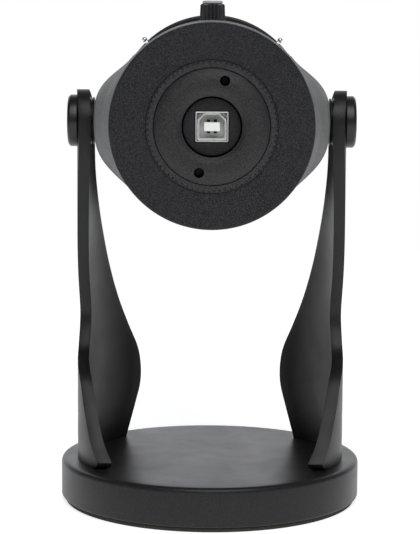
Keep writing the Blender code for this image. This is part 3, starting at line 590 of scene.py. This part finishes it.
def spacer(name, side):
    """Saddle washer between ear and housing: flat inside, curved outside, with a groove round it."""
    inner = SHOULDER_X + GAP
    steps, points, rings = 96, [], []
    waist = SPACER_R - 0.7 * MM
    section = [(BOLT_HOLE_R, 0.0), (SPACER_R, 0.0), (SPACER_R, 0.30), (waist, 0.38), (waist, 0.62)]
    section += [(SPACER_R, 0.70), (SPACER_R, 1.0), (BOLT_HOLE_R, 1.0)]
    for radius, share in section:
        rings.append([])
        for i in range(steps):
            turn = 2.0 * math.pi * i / steps
            y, z = radius * math.cos(turn), radius * math.sin(turn)
            outer = math.sqrt((ARM_OUTER_R - ARM_THICK - GAP) ** 2 - y * y)
            rings[-1].append(len(points))
            points.append((side * (inner + (outer - inner) * share), y, z + PIVOT))
    ring = soften(make(name + "_saddle", (points, bridge(rings, closed=True))), 0.12 * MM)
    dress(ring, KNOB_PLASTIC, "stand", "black_plastic", name + "_spacer")


def clamp_knob(name, across):
    """Round hand knob: chamfered rim, shallow dish in its face and a recess for the washer."""
    low, high, dish = KNOB_IN, KNOB_OUT, KNOB_R - 2.4 * MM
    washer_r, seat, end = 6.3 * MM, low + 1.5 * MM, low + 2.6 * MM
    profile = [(0.0, high - 0.35 * MM, 0), (dish - 0.3 * MM, high - 0.35 * MM, 0.3 * MM)]
    profile += [(dish, high, 0.25 * MM), (KNOB_R - 0.9 * MM, high, 0.35 * MM)]
    profile += [(KNOB_R, high - 0.9 * MM, 0.35 * MM), (KNOB_R, low + 0.6 * MM, 0.2 * MM)]
    profile += [(KNOB_R - 0.6 * MM, low, 0.2 * MM), (washer_r, low, 0), (washer_r, seat, 0)]
    profile += [(BOLT_HOLE_R, seat, 0), (BOLT_HOLE_R, end, 0), (0.0, end, 0)]
    knob = make(name + "_hand_knob", lathe(rounded(profile, closed=False), steps=128), across)
    dress(knob, KNOB_PLASTIC, name + "_clamp_knob", "black_plastic", name + "_knob")


# ---------------------------------------------------------------- housing
def smoothstep(value):
    value = min(1.0, max(0.0, value))
    return value * value * (3.0 - 2.0 * value)


BODY_LINE = ((-77, 37.3), (-60, 38.2), (-35, 39.7), (0, 40.9), (27, 41.2))
SWELL_LINE = ((-74, 0.0), (-60, 0.30), (-42, 0.68), (-24, 0.92), (-8, 1.0), (0, 1.0), (27, 1.0))
SWELL = 6.4 * MM


def housing_radius(turn, z):
    """Round body whose sides swell towards each pivot and end there in a flat."""
    off = math.degrees(math.acos(min(1.0, abs(math.cos(turn)))))
    fade = 29.0 if math.sin(turn) < 0.0 else 35.0
    ramp = 0.5 * (1.0 + math.cos(math.pi * min(1.0, max(0.0, (off - 10.0) / fade))))
    swell = SWELL * along(SWELL_LINE, max(z / MM, -74.0)) * smoothstep((27.0 - z / MM) / 24.0)
    radius = along(BODY_LINE, z / MM) * MM + swell * ramp
    return min(radius, SHOULDER_X / max(abs(math.cos(turn)), 1e-6))


def housing():
    low, high, steps, rows = HOUSING_LOW, HOUSING_HIGH, 176, 56
    lip = 0.35 * MM
    heights = [low + lip + (high - low - 2 * lip) * i / rows for i in range(rows + 1)]
    points, rings = [], []

    def ring(radius_at, z):
        rings.append([])
        for i in range(steps):
            turn = 2.0 * math.pi * i / steps
            rings[-1].append(len(points))
            points.append((radius_at(turn) * math.cos(turn), radius_at(turn) * math.sin(turn), z))

    ring(lambda turn: housing_radius(turn, low) - lip, low)
    for z in heights:
        ring(lambda turn, z=z: housing_radius(turn, z), z)
    ring(lambda turn: housing_radius(turn, high) - lip, high)
    for radius, z in ((37.4 * MM, high), (37.4 * MM, -25 * MM), (BORE_R, -45 * MM), (BORE_R, low)):
        ring(lambda turn, radius=radius: radius, z)
    shell = make("housing_shell", (points, bridge(rings, closed=True)), MIC)
    carve(shell, [curved_plate(PANEL_R + 8 * MM, 30 * MM, 0.0)], MIC)
    bolt = pin(BOLT_HOLE_R, -60 * MM, 60 * MM)
    carve(shell, [bolt], MIC @ Matrix.Rotation(math.radians(90.0), 4, "Y"))
    jack = pin(JACK_RING_R + GAP, 25 * MM, 60 * MM, steps=48)
    carve(shell, [jack], facing(180.0, JACK_Y))
    dress(shell, BODY_COAT, "head", "powder_coat", "housing", sharp=35.0)


def curved_plate(outer, inner, shrink):
    """Rounded rectangle bent about the microphone's axis, on its front."""
    corner, count = 6.0 * MM, 64
    low, high = PANEL_LOW - GAP + shrink, PANEL_HIGH + GAP - shrink
    half = math.radians(PANEL_HALF_ANGLE) - shrink / PANEL_R
    points, rings = [], []
    for i in range(count + 1):
        turn = half * math.sin((-1.0 + 2.0 * i / count) * math.pi / 2)
        edge = (half - abs(turn)) * PANEL_R
        inset = corner - math.sqrt(max(corner**2 - max(corner - edge, 0.0) ** 2, 0.0))
        bottom, top = low + inset, high - inset
        rings.append([])
        for radius, z in ((outer, bottom), (outer, top), (inner, top), (inner, bottom)):
            rings[-1].append(len(points))
            points.append((radius * math.sin(turn), -radius * math.cos(turn), z))
    return points, bridge(rings, closed=False) + [tuple(rings[0]), tuple(rings[-1])]


def facing(angle, y):
    """Place whose +Z points out of the microphone, `angle` degrees round from its front."""
    turned = Matrix.Rotation(math.radians(angle), 4, "Z")
    outward = Matrix.Rotation(math.radians(90.0), 4, "X")
    return MIC @ Matrix.Translation((0, 0, y)) @ turned @ outward


# ---------------------------------------------------------------- socket end
def end_cap():
    inner = RING_R + 0.06 * MM
    profile = [(inner, CAP_INNER_Y, 0), (CAP_R, CAP_INNER_Y, 0.25 * MM), (CAP_R, END_Y, 1.1 * MM)]
    profile += [(inner, END_Y, 0.30 * MM)]
    cap = make("end_cap_skin", lathe(rounded(profile, count=6), steps=200), MIC)
    dress(cap, END_COAT, "head", "powder_coat", "end_cap")


def knurled_ring():
    """Mounting ring, a little proud of the end, with a row of fine scallops round its edge."""
    teeth, deep = 72, 0.85 * MM
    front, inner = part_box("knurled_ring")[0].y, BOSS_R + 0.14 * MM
    step = END_Y - 0.03 * MM

    def scallop(r, z, turn):
        if r < RING_R - 0.5 * MM or z >= step:
            return r
        return r - deep * (1.0 - abs(math.cos(teeth * turn / 2.0)) ** 0.6)

    chamfer = 0.40 * MM
    profile = [(inner, RING_BACK), (RING_R, RING_BACK), (RING_R, step), (RING_R, step - 0.01 * MM)]
    profile += [(RING_R, front + chamfer), (RING_R - chamfer, front), (RING_R - chamfer - 1 * MM, front)]
    profile += [(inner + 0.2 * MM, front), (inner, front + 0.2 * MM)]
    ring = make("mounting_ring_skin", lathe(profile, teeth * 10, scallop), MIC)
    dress(ring, RING_COAT, "mounting_ring", "powder_coat", "knurled_ring")


def boss_screw_places():
    for end, tilt in (("front", -90.0 + BOSS_SCREW_TILT), ("back", 90.0 + BOSS_SCREW_TILT)):
        turn = math.radians(tilt)
        yield end, (BOSS_SCREW_PCR * math.cos(turn), BOSS_SCREW_PCR * math.sin(turn))


def socket_boss():
    """Boss round the socket: its face rises in a soft ring and rolls over into the hole."""
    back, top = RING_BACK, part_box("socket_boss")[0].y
    profile = [(HOLE_R, back, 0), (BOSS_R, back, 0), (BOSS_R, END_Y - 0.8 * MM, 0.3 * MM)]
    profile += [(19.4 * MM, END_Y - 1.8 * MM, 1.6 * MM), (17.0 * MM, top + 0.05 * MM, 1.8 * MM)]
    profile += [(14.0 * MM, top, 1.2 * MM), (12.1 * MM, top + 0.6 * MM, 0.5 * MM)]
    profile += [(11.4 * MM, top + 1.2 * MM, 0.15 * MM), (HOLE_R, top + 1.3 * MM, 0.1 * MM)]
    boss = make("socket_boss_skin", lathe(rounded(profile, count=5), steps=160), MIC)
    for _, (x, y) in boss_screw_places():
        hole = pin(BOSS_HOLE_R, -90 * MM, -60 * MM)
        carve(boss, [hole], MIC @ Matrix.Translation((x, y, 0.0)))
    dress(boss, BOSS_COAT, "head", "powder_coat", "socket_boss")


def boss_screws():
    """Small screws sunk deep in the boss, each with a slot across its head."""
    for end, (x, y) in boss_screw_places():
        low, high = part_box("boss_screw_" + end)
        head, shank, tall = 1.5 * MM, 0.9 * MM, 1.2 * MM
        top = low.y + 1.2 * MM
        profile = [(0.0, top, 0), (head, top, 0.25 * MM), (head, top + tall, 0)]
        profile += [(shank, top + tall, 0), (shank, high.y, 0), (0.0, high.y, 0)]
        place = MIC @ Matrix.Translation((x, y, 0.0)) @ Matrix.Rotation(math.radians(70.0), 4, "Z")
        turned = lathe(rounded(profile, closed=False), steps=40)
        screw = make(f"boss_screw_{end}_skin", turned, place)
        carve(screw, [slab(box_outline(4 * MM, 0.45 * MM), top - 1 * MM, top + 0.55 * MM)], place)
        dress(screw, BLACK_OXIDE, "head", "steel", "boss_screw_" + end)


def socket_plate():
    """Recessed disc that carries the receptacle."""
    face, flange = 10.45 * MM, HOLE_R - GAP
    profile = [(0.0, PLATE_Y, 0), (face, PLATE_Y, 0.25 * MM), (face, PLATE_Y + 2 * MM, 0)]
    profile += [(flange, PLATE_Y + 2 * MM, 0.1 * MM), (flange, PLATE_BACK, 0), (0.0, PLATE_BACK, 0)]
    plate = make("socket_plate_skin", lathe(rounded(profile, closed=False), steps=128), MIC)
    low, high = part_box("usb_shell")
    outline = box_outline(high.x - low.x + 2 * GAP, high.z - low.z + 2 * GAP, 0.3 * MM)
    carve(plate, [slab(outline, PLATE_Y - 5 * MM, PLATE_BACK + 5 * MM)], MIC)
    dress(plate, END_COAT, "head", "black_plastic", "socket_plate")


def mouth(width, height, chamfer, cut):
    """Outline of the receptacle's opening: square, with its two front corners cut off."""
    w, h = width / 2, height / 2
    corners = [(-w, h, cut), (w, h, cut), (w, -h + chamfer, cut), (w - chamfer, -h, cut)]
    return rounded(corners + [(-w + chamfer, -h, cut), (-w, -h + chamfer, cut)])


def funnel(layers):
    """Closed ring-shaped solid through matching outlines, given as (outline, height)."""
    points, rings = [], []
    for outline, z in layers:
        rings.append(list(range(len(points), len(points) + len(outline))))
        points += [(x, y, z) for x, y in outline]
    return points, bridge(rings, closed=True)


def usb_socket():
    """Steel shell, its dark face plate, a flared D-shaped mouth, the tongue and four contacts."""
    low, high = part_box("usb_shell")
    width, height, front, back = high.x - low.x, high.z - low.z, USB_FRONT, USB_BACK
    wall = 0.42 * MM
    outer = box_outline(width, height, 0.35 * MM)
    inner = box_outline(width - 2 * wall, height - 2 * wall, 0.25 * MM)
    edge = box_outline(width - 0.4 * wall, height - 0.4 * wall, 0.3 * MM)
    layers = [(outer, back), (outer, front + 0.12 * MM), (edge, front)]
    layers += [(inner, front + 0.05 * MM), (inner, back)]
    shell = make("usb_shell_skin", funnel(layers), MIC)
    dress(shell, SHELL_STEEL, "head", "steel", "usb_shell", sharp=50.0)

    face, depth = front + 0.40 * MM, front + 5.5 * MM
    block = resampled(box_outline(width - 2.1 * wall, height - 2.1 * wall, 0.3 * MM), 96)
    wide, lip, narrow = (
        resampled(mouth(w * MM, h * MM, chamfer * MM, 0.5 * MM), 96)
        for w, h, chamfer in ((10.4, 9.8, 2.5), (10.0, 9.4, 2.4), (8.9, 8.3, 1.9))
    )
    thick = 1 * MM
    layers = [(block, face + thick), (block, face), (wide, face), (wide, face + thick)]
    plate = make("usb_face", funnel(layers), MIC)
    dress(plate, SOCKET_FACE, "head", "steel", sharp=40.0)
    layers = [(wide, depth), (wide, face - 0.05 * MM), (lip, face - 0.12 * MM)]
    layers += [(narrow, face + 1.6 * MM), (narrow, depth)]
    walls = make("usb_mouth", funnel(layers), MIC)
    dress(walls, SHADED_SOCKET_WALL, "head", "white_plastic", sharp=40.0)
    outline = mouth(8.8 * MM, 8.2 * MM, 1.8 * MM, 0.4 * MM)
    floor = make("usb_floor", slab(outline, depth - 1.2 * MM, depth), MIC)
    dress(soften(floor, 0.1 * MM), SHADED_SOCKET_FLOOR, "head", "white_plastic")
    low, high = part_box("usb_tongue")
    outline = box_outline(high.x - low.x, high.z - low.z, 0.3 * MM)
    tongue = make("usb_tongue_skin", slab(outline, low.y - 0.35 * MM, high.y), MIC)
    dress(soften(tongue, 0.15 * MM), WHITE_PLASTIC, "head", "white_plastic", "usb_tongue")
    for number in range(1, 5):
        contact(number)


def contact(number):
    """Contact spring, its gold painted dark as painted shade from its slot."""
    node = f"usb_contact_{number}"
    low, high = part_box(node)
    deep = 0.75 * MM if (low.z + high.z) / 2 > PIVOT else 0.35 * MM
    spring = box_outline(high.x - low.x + 0.35 * MM, high.z - low.z + deep, 0.08 * MM)
    place = MIC @ Matrix.Translation(((low.x + high.x) / 2, PIVOT - (low.z + high.z) / 2, 0.0))
    strip = soften(make(node + "_skin", slab(spring, low.y, high.y), place), 0.05 * MM)
    dress(strip, SHADE_PAINTED_GOLD, "head", "gold_contact", node)


def resampled(outline, count):
    """The same closed outline with `count` points spaced by angle about its centre."""
    found = []
    total = len(outline)
    for k in range(count):
        turn = 2.0 * math.pi * (k + 0.5) / count
        ray = Vector((math.cos(turn), math.sin(turn)))
        for i in range(total):
            a, b = Vector(outline[i]), Vector(outline[(i + 1) % total])
            side_a, side_b = ray.cross(a), ray.cross(b)
            if side_a * side_b <= 0.0 and side_a != side_b:
                spot = a.lerp(b, side_a / (side_a - side_b))
                if spot.dot(ray) > 0.0:
                    found.append((spot.x, spot.y))
                    break
    return found


# ---------------------------------------------------------------- controls
def control_panel():
    plate = make("panel_skin", curved_plate(PANEL_R, PANEL_R - 3.0 * MM, GAP), MIC)
    soften(plate, 0.3 * MM, segments=2, angle=50.0)
    places = [(3.3 * MM, 0.0, LEVEL_Y), (1.7 * MM, 0.0, LIGHT_Y)]
    places += [(2.5 * MM, side * TOGGLE_ANGLE, TOGGLE_Y) for side in (-1, 1)]
    for radius, angle, y in places:
        carve(plate, [pin(radius, 20 * MM, 50 * MM)], facing(angle, y))
    dress(plate, PANEL_PLASTIC, "head", "black_plastic", "control_panel", sharp=40.0)


def scale_marks():
    """Printed ticks round the level knob, longer at both ends and in the middle."""
    for number in range(11):
        turn = math.radians(-135.0 + 27.0 * number)
        long = number in (0, 5, 10)
        start, end = 6.3 * MM, (8.2 if long else 7.5) * MM
        half = 0.16 * MM if long else 0.11 * MM
        points = []
        for height in (-0.02 * MM, 0.05 * MM):
            for along_mark, across in ((start, -half), (end, -half), (end, half), (start, half)):
                x = along_mark * math.sin(turn) + across * math.cos(turn)
                y = -along_mark * math.cos(turn) + across * math.sin(turn)
                radius = PANEL_R + height
                bend = x / PANEL_R
                points.append((radius * math.sin(bend), -radius * math.cos(bend), LEVEL_Y - y))
        faces = [(0, 1, 2, 3), (4, 5, 6, 7), (0, 1, 5, 4), (1, 2, 6, 5), (2, 3, 7, 6), (3, 0, 4, 7)]
        mark = make(f"level_mark_{number}", (points, faces), MIC)
        dress(mark, PRINT, "head", "black_plastic")


def level_knob():
    """Fluted knob, a little wider at its foot, with a pale turned cap and a pointer line."""
    place = facing(0, LEVEL_Y)
    flutes, foot, top = 18, PANEL_R + GAP, LEVEL_TOP
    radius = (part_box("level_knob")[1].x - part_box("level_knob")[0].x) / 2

    def flute(r, z, turn):
        if r < radius - 0.75 * MM or z < foot + 0.5 * MM:
            return r
        wave = abs(math.cos(flutes * turn / 2.0))
        return r - 0.62 * MM * (1.0 - wave) ** 0.8

    profile = [(2.3 * MM, foot, 0), (radius, foot, 0.1 * MM), (radius, foot + 0.6 * MM, 0.1 * MM)]
    profile += [(radius - 0.25 * MM, top - 1.5 * MM, 0.25 * MM)]
    profile += [(radius - 1.0 * MM, top - 1.05 * MM, 0.15 * MM)]
    profile += [(2.9 * MM, top - 1.05 * MM, 0), (2.3 * MM, top - 1.4 * MM, 0)]
    fluted = lathe(rounded(profile, count=3), steps=flutes * 12, radius_of=flute)
    body = make("level_knob_skin", fluted, place)
    dress(body, FLUTE_PLASTIC, "level_control", "black_plastic", "level_knob")
    rim, stem, under = radius - 1.05 * MM, 2.6 * MM, top - 1.0 * MM
    profile = [(0.0, top - 1.3 * MM, 0), (stem, top - 1.3 * MM, 0), (stem, under, 0)]
    profile += [(rim, under, 0.1 * MM), (rim, top, 0.35 * MM), (0.0, top, 0)]
    cap = make("level_cap_skin", lathe(rounded(profile, closed=False), steps=72), place)
    ahead = place @ Matrix.Translation((0, 1.6 * MM, 0))
    carve(cap, [slab(box_outline(0.55 * MM, 3.4 * MM), top - 0.2 * MM, top + 1 * MM)], ahead)
    dress(cap, CAP_METAL, "level_control", "knob_cap", "level_knob_cap")
    stripe = slab(box_outline(0.45 * MM, 3.0 * MM), top - 0.19 * MM, top - 0.02 * MM)
    line = make("level_pointer", stripe, ahead)
    dress(line, WHITE_PLASTIC, "level_control", "knob_cap")


def toggles():
    """Satin bat levers with a round tip, each in a threaded bushing under the panel's hole."""
    bush, throat = 2.2 * MM, 1.5 * MM
    for name, side in (("left", -1), ("right", 1)):
        place = facing(side * TOGGLE_ANGLE, TOGGLE_Y)
        shoulder, lip = PANEL_R - 3.6 * MM, PANEL_R + 0.4 * MM
        profile = [(throat, shoulder - 1.6 * MM, 0), (3.4 * MM, shoulder - 1.6 * MM, 0.2 * MM)]
        profile += [(3.4 * MM, shoulder, 0.2 * MM), (bush, shoulder, 0)]
        for turn in range(8):
            height = shoulder + 0.4 * MM + 0.42 * MM * turn
            profile += [(bush, height, 0), (bush - 0.14 * MM, height + 0.2 * MM, 0)]
        profile += [(bush - 0.1 * MM, lip, 0.1 * MM), (throat + 0.2 * MM, lip, 0.1 * MM)]
        bushing = make(name + "_bushing_skin", lathe(rounded(profile, count=3), steps=48), place)
        dress(bushing, STEEL, "head", "steel", name + "_toggle_bushing")
        tip, ball, neck = lever_tip(name, place), 1.0 * MM, 0.55 * MM
        lever = [(0.0, -1.6 * MM), *arc(0, 0, 1.25 * MM, -70, 45, 10), (0.7 * MM, 1.3 * MM)]
        lever += [(neck, 2.8 * MM), (neck, tip - 1.8 * ball)]
        lever += [*arc(0, tip - ball, ball, -50, 84, 16), (0.0, tip)]
        rest = Matrix.Rotation(math.radians(-9.0), 4, "X")
        lean = Matrix.Translation((0, 0, TOGGLE_PIVOT_R)) @ rest
        bat = make(name + "_bat", lathe(lever, steps=40), place @ lean)
        dress(bat, CHROME, name + "_lever", "chrome", name + "_toggle")


def lever_tip(name, place):
    """Length of the lever beyond its pivot, read from the CAD lever's farthest point."""
    centre = place @ Vector((0, 0, TOGGLE_PIVOT_R))
    return max((v.co - centre).length for v in NODES[name + "_toggle"].data.vertices)


def back_and_light():
    """Headphone jack's plastic ring at the back, and the power light on the panel."""
    ring_low, ring_high = 37.6 * MM, 39.6 * MM
    bore = 3.9 * MM
    profile = [(bore, ring_low, 0), (JACK_RING_R, ring_low, 0)]
    profile += [(JACK_RING_R, ring_high, 0.4 * MM), (bore, ring_high, 0.5 * MM)]
    ring = make("jack_ring_skin", lathe(rounded(profile, count=5), steps=72), facing(180.0, JACK_Y))
    dress(ring, KNOB_PLASTIC, "head", "black_plastic", "jack_ring")
    light_r, low = 1.4 * MM, PANEL_R - 6 * MM
    dome = arc(0, PANEL_R - 0.7 * MM, light_r, 0, 80, 8)
    profile = [(0.0, low), (light_r, low), *dome, (0.0, PANEL_R + 0.7 * MM)]
    light = make("light_skin", lathe(profile, steps=40), facing(0.0, LIGHT_Y))
    dress(light, LENS_PAINTED_GLOW, "head", "lens", "power_light")


# ---------------------------------------------------------------- head
def collar():
    """Oval double ring between housing and grille."""
    low, high, wide = COLLAR_LOW, COLLAR_HIGH, COLLAR_WIDE
    profile = [(BORE_R, low, 0), (wide - 0.5 * MM, low, 0.3 * MM), (wide, low + 0.9 * MM, 0.5 * MM)]
    profile += [(wide, low + 3.2 * MM, 0.4 * MM), (wide - 0.9 * MM, low + 3.6 * MM, 0.15 * MM)]
    profile += [(wide - 0.9 * MM, low + 4.6 * MM, 0.15 * MM), (wide, low + 5.0 * MM, 0.4 * MM)]
    profile += [(wide, high, 0.9 * MM), (wide - 3.2 * MM, high, 0.3 * MM), (BORE_R, high, 0)]
    ring = make("collar_skin", lathe(rounded(profile, count=5), steps=180, deeper=DEEPER), MIC)
    dress(ring, COLLAR_COAT, "head", "powder_coat", "collar_ring")


def head_line(inset):
    """Side line of the domed head, `inset` inside the grille's outside, from foot to pole."""
    radius, top = GRILLE_R - inset, GRILLE_TOP - inset
    bend = DOME_R - inset
    side = [(radius, GRILLE_LOW), (radius, top - bend)]
    return side + arc(radius - bend, top - bend, bend, 0, 90, 24)[1:] + [(0.0, top)]


def walk(line, distance):
    """Point on a polyline at this distance from its start."""
    for (r0, z0), (r1, z1) in zip(line, line[1:]):
        length = math.hypot(r1 - r0, z1 - z0)
        if distance <= length:
            share = distance / length
            return r0 + (r1 - r0) * share, z0 + (z1 - z0) * share
        distance -= length
    return line[-1]


def tube(path, radius, sides, closed):
    """Round wire along a list of points."""
    points, rings = [], []
    count = len(path)
    for i, spot in enumerate(path):
        before = path[(i - 1) % count] if closed or i else spot
        after = path[(i + 1) % count] if closed or i < count - 1 else spot
        forward = (after - before).normalized()
        outward = Vector((spot.x, spot.y, 0.25 * (spot.z - GRILLE_LOW))).normalized()
        side = forward.cross(outward).normalized()
        up = side.cross(forward)
        rings.append([])
        for k in range(sides):
            turn = 2.0 * math.pi * k / sides
            rings[-1].append(len(points))
            points.append(spot + radius * (math.cos(turn) * side + math.sin(turn) * up))
    faces = bridge(rings, closed)
    if not closed:
        faces += [tuple(rings[0]), tuple(rings[-1])]
    return points, faces


def gather(shapes):
    """Many shapes joined into one."""
    points, faces = [], []
    for more_points, more_faces in shapes:
        start = len(points)
        points += more_points
        faces += [tuple(start + i for i in face) for face in more_faces]
    return points, faces


WIRE_R = 0.26 * MM
UPRIGHTS = 120
ROW_PITCH = 2.1 * MM
BUTTON_R = 9.0 * MM


def grille():
    """Woven wire: uprights run over the dome to a button, and hoops weave in and out of them."""
    line = head_line(0.55 * MM)
    length = sum(math.hypot(b[0] - a[0], b[1] - a[1]) for a, b in zip(line, line[1:]))
    last = length - BUTTON_R
    hoops = int(last / ROW_PITCH)

    def spot(turn, distance, lift):
        r, z = walk(line, distance)
        r2, z2 = walk(line, min(distance + 0.5 * MM, length))
        slope = Vector((r2 - r, z2 - z)).normalized()
        r, z = r + lift * slope.y, z - lift * slope.x
        return Vector((r * math.cos(turn), DEEPER * r * math.sin(turn), z))

    wires = []
    short = int((GRILLE_TOP - DOME_R - GRILLE_LOW) / ROW_PITCH) + 4
    for i in range(UPRIGHTS):
        turn, sign = 2.0 * math.pi * i / UPRIGHTS, 1.0 if i % 2 else -1.0
        rows = short if i % 2 else hoops
        path = []
        for k in range(rows + 1):
            lift = sign * (1.0 if k % 2 else -1.0) * WIRE_R * 0.9
            path.append(spot(turn, k * ROW_PITCH, lift))
        wires.append(tube(path, WIRE_R, 5, closed=False))
    for k in range(1, hoops):
        path = []
        for i in range(UPRIGHTS):
            sign = 1.0 if (i + k) % 2 else -1.0
            path.append(spot(2.0 * math.pi * i / UPRIGHTS, k * ROW_PITCH, sign * WIRE_R * 0.9))
        wires.append(tube(path, WIRE_R, 5, closed=True))
    mesh = make("grille_wires", gather(wires), MIC)
    dress(mesh, WIRE, "head", "grille_steel", "grille", sharp=80.0)
    top = GRILLE_TOP
    wide, under = BUTTON_R + 0.6 * MM, top - 1.3 * MM
    profile = [(0.0, under, 0), (wide, under, 0.2 * MM), (wide, top - 0.5 * MM, 0.3 * MM)]
    profile += [(BUTTON_R - 0.6 * MM, top, 0.5 * MM), (0.0, top, 0)]
    disc = lathe(rounded(profile, closed=False), steps=96, deeper=DEEPER)
    button = make("grille_button", disc, MIC)
    dress(button, COLLAR_COAT, "head", "powder_coat")


def liner_and_band():
    """Foam shell inside the wires, and the oval band outside them."""
    skin, inside = head_line(1.6 * MM), head_line(3.4 * MM)
    shape = lathe(skin + inside[::-1], steps=96, deeper=DEEPER)
    liner = make("foam_liner_skin", shape, MIC)
    dress(liner, LINER_FOAM, "head", "foam", "foam_liner", sharp=60.0)
    low, high, outer = BAND_LOW, BAND_HIGH, BAND_R
    inner = GRILLE_R + 0.1 * MM
    profile = [(inner, low, 0), (outer, low, 0.5 * MM), (outer, high, 0.5 * MM), (inner, high, 0)]
    band = make("band_skin", lathe(rounded(profile, count=5), steps=160, deeper=DEEPER), MIC)
    dress(band, COLLAR_COAT, "head", "powder_coat", "grille_band")


# ---------------------------------------------------------------- kept CAD nodes
def finish_kept_nodes():
    """Every CAD node that stays on show inside the object gets its own finish."""
    plan = {
        IRON: ["ballast_disc"],
        STEEL: ["left_pivot_bolt", "right_pivot_bolt", "headphone_jack", "pot_shaft", "pot_body",
                "board_screw_lower", "board_screw_upper", "head_screw_left", "head_screw_right"]
        + ARM_SCREWS,
        WHITE_PLASTIC: ["left_clamp_washer", "right_clamp_washer"],
        INNER_PLASTIC: ["codec_chip", "head_plate", "capsule_post", "capsule_ring",
                        "left_toggle_switch", "right_toggle_switch"],
        GOLD: ["capsule_front", "capsule_back"],
        BOARD: ["main_board", "socket_board"],
    }
    for finish, names in plan.items():
        for name in names:
            mesh = NODES[name].data
            mesh.materials.clear()
            mesh.materials.append(finish)


# ---------------------------------------------------------------- studio
def studio():
    """White light from behind, a dim room in front, a white floor and one soft lamp."""
    world = bpy.data.worlds.new("studio")
    bpy.context.scene.world = world
    world.use_nodes = True
    tree = world.node_tree
    lit = tree.nodes["Background"]
    split = tree.nodes.new("ShaderNodeSeparateXYZ")
    sky = tree.nodes.new("ShaderNodeTexCoord")
    tree.links.new(sky.outputs["Generated"], split.inputs["Vector"])
    depth = tree.nodes.new("ShaderNodeMapRange")
    depth.interpolation_type = "SMOOTHSTEP"
    limits = {"From Min": 0.48, "From Max": 1.0, "To Min": 0.13, "To Max": 1.32}
    for socket, value in limits.items():
        depth.inputs[socket].default_value = value
    tree.links.new(split.outputs["Y"], depth.inputs["Value"])
    tree.links.new(depth.outputs["Result"], lit.inputs["Strength"])
    lit.inputs["Color"].default_value = (0.97, 0.98, 1.0, 1.0)
    backdrop = tree.nodes.new("ShaderNodeBackground")
    seen = tree.nodes.new("ShaderNodeLightPath")
    either = tree.nodes.new("ShaderNodeMixShader")
    tree.links.new(seen.outputs["Is Camera Ray"], either.inputs[0])
    tree.links.new(lit.outputs[0], either.inputs[1])
    tree.links.new(backdrop.outputs[0], either.inputs[2])
    tree.links.new(either.outputs[0], tree.nodes["World Output"].inputs["Surface"])
    backdrop.inputs["Color"].default_value = (1.0, 1.0, 1.0, 1.0)
    floor = make("floor", lathe([(0.0, -0.02), (1.0, -0.02), (1.0, 0.0), (0.0, 0.0)], steps=96))
    paint = Finish("floor_paint", specular=0.2)
    patches = paint.noise(0.35, detail=2.0)
    paint.colour(paint.ramp(patches, [(0.3, (0.86, 0.86, 0.86)), (0.7, (0.88, 0.88, 0.88))]))
    paint.rough(paint.spread(paint.noise(0.2), 0.75, 0.85))
    paint.shader.inputs["Emission Color"].default_value = (1.0, 1.0, 1.0, 1.0)
    paint.shader.inputs["Emission Strength"].default_value = 0.72
    floor.data.materials.append(paint.material)
    soft_box("key_light", (0.15, -1.1, 1.35), (0.0, 0.0, 0.1), 1.4, 15.0)
    bpy.context.scene.view_settings.view_transform = "Standard"


def soft_box(name, at, towards, size, watts):
    lamp = bpy.data.lights.new(name, "AREA")
    lamp.shape, lamp.size, lamp.energy = "DISK", size, watts
    obj = bpy.data.objects.new(name, lamp)
    obj.location = at
    obj.rotation_euler = (Vector(towards) - Vector(at)).to_track_quat("-Z", "Y").to_euler()
    bpy.context.scene.collection.objects.link(obj)


def camera():
    """Long lens in front of the socket end, a little above it and looking slightly down."""
    lens_data = bpy.data.cameras.new("camera")
    lens_data.lens, lens_data.sensor_width, lens_data.clip_start = 117.3, 36.0, 0.01
    obj = bpy.data.objects.new("camera", lens_data)
    level = Matrix.Rotation(math.radians(90.0 - 6.355), 4, "X")
    roll = Matrix.Rotation(math.radians(0.34), 4, "Z")
    obj.matrix_world = Matrix.Translation((-0.0004, -0.704, 0.1732)) @ level @ roll
    bpy.context.scene.collection.objects.link(obj)
    bpy.context.scene.camera = obj


camera()
studio()
base()
foot_pad()
arms()
housing()
end_cap()
knurled_ring()
socket_boss()
boss_screws()
socket_plate()
usb_socket()
control_panel()
scale_marks()
level_knob()
toggles()
back_and_light()
collar()
grille()
liner_and_band()
finish_kept_nodes()
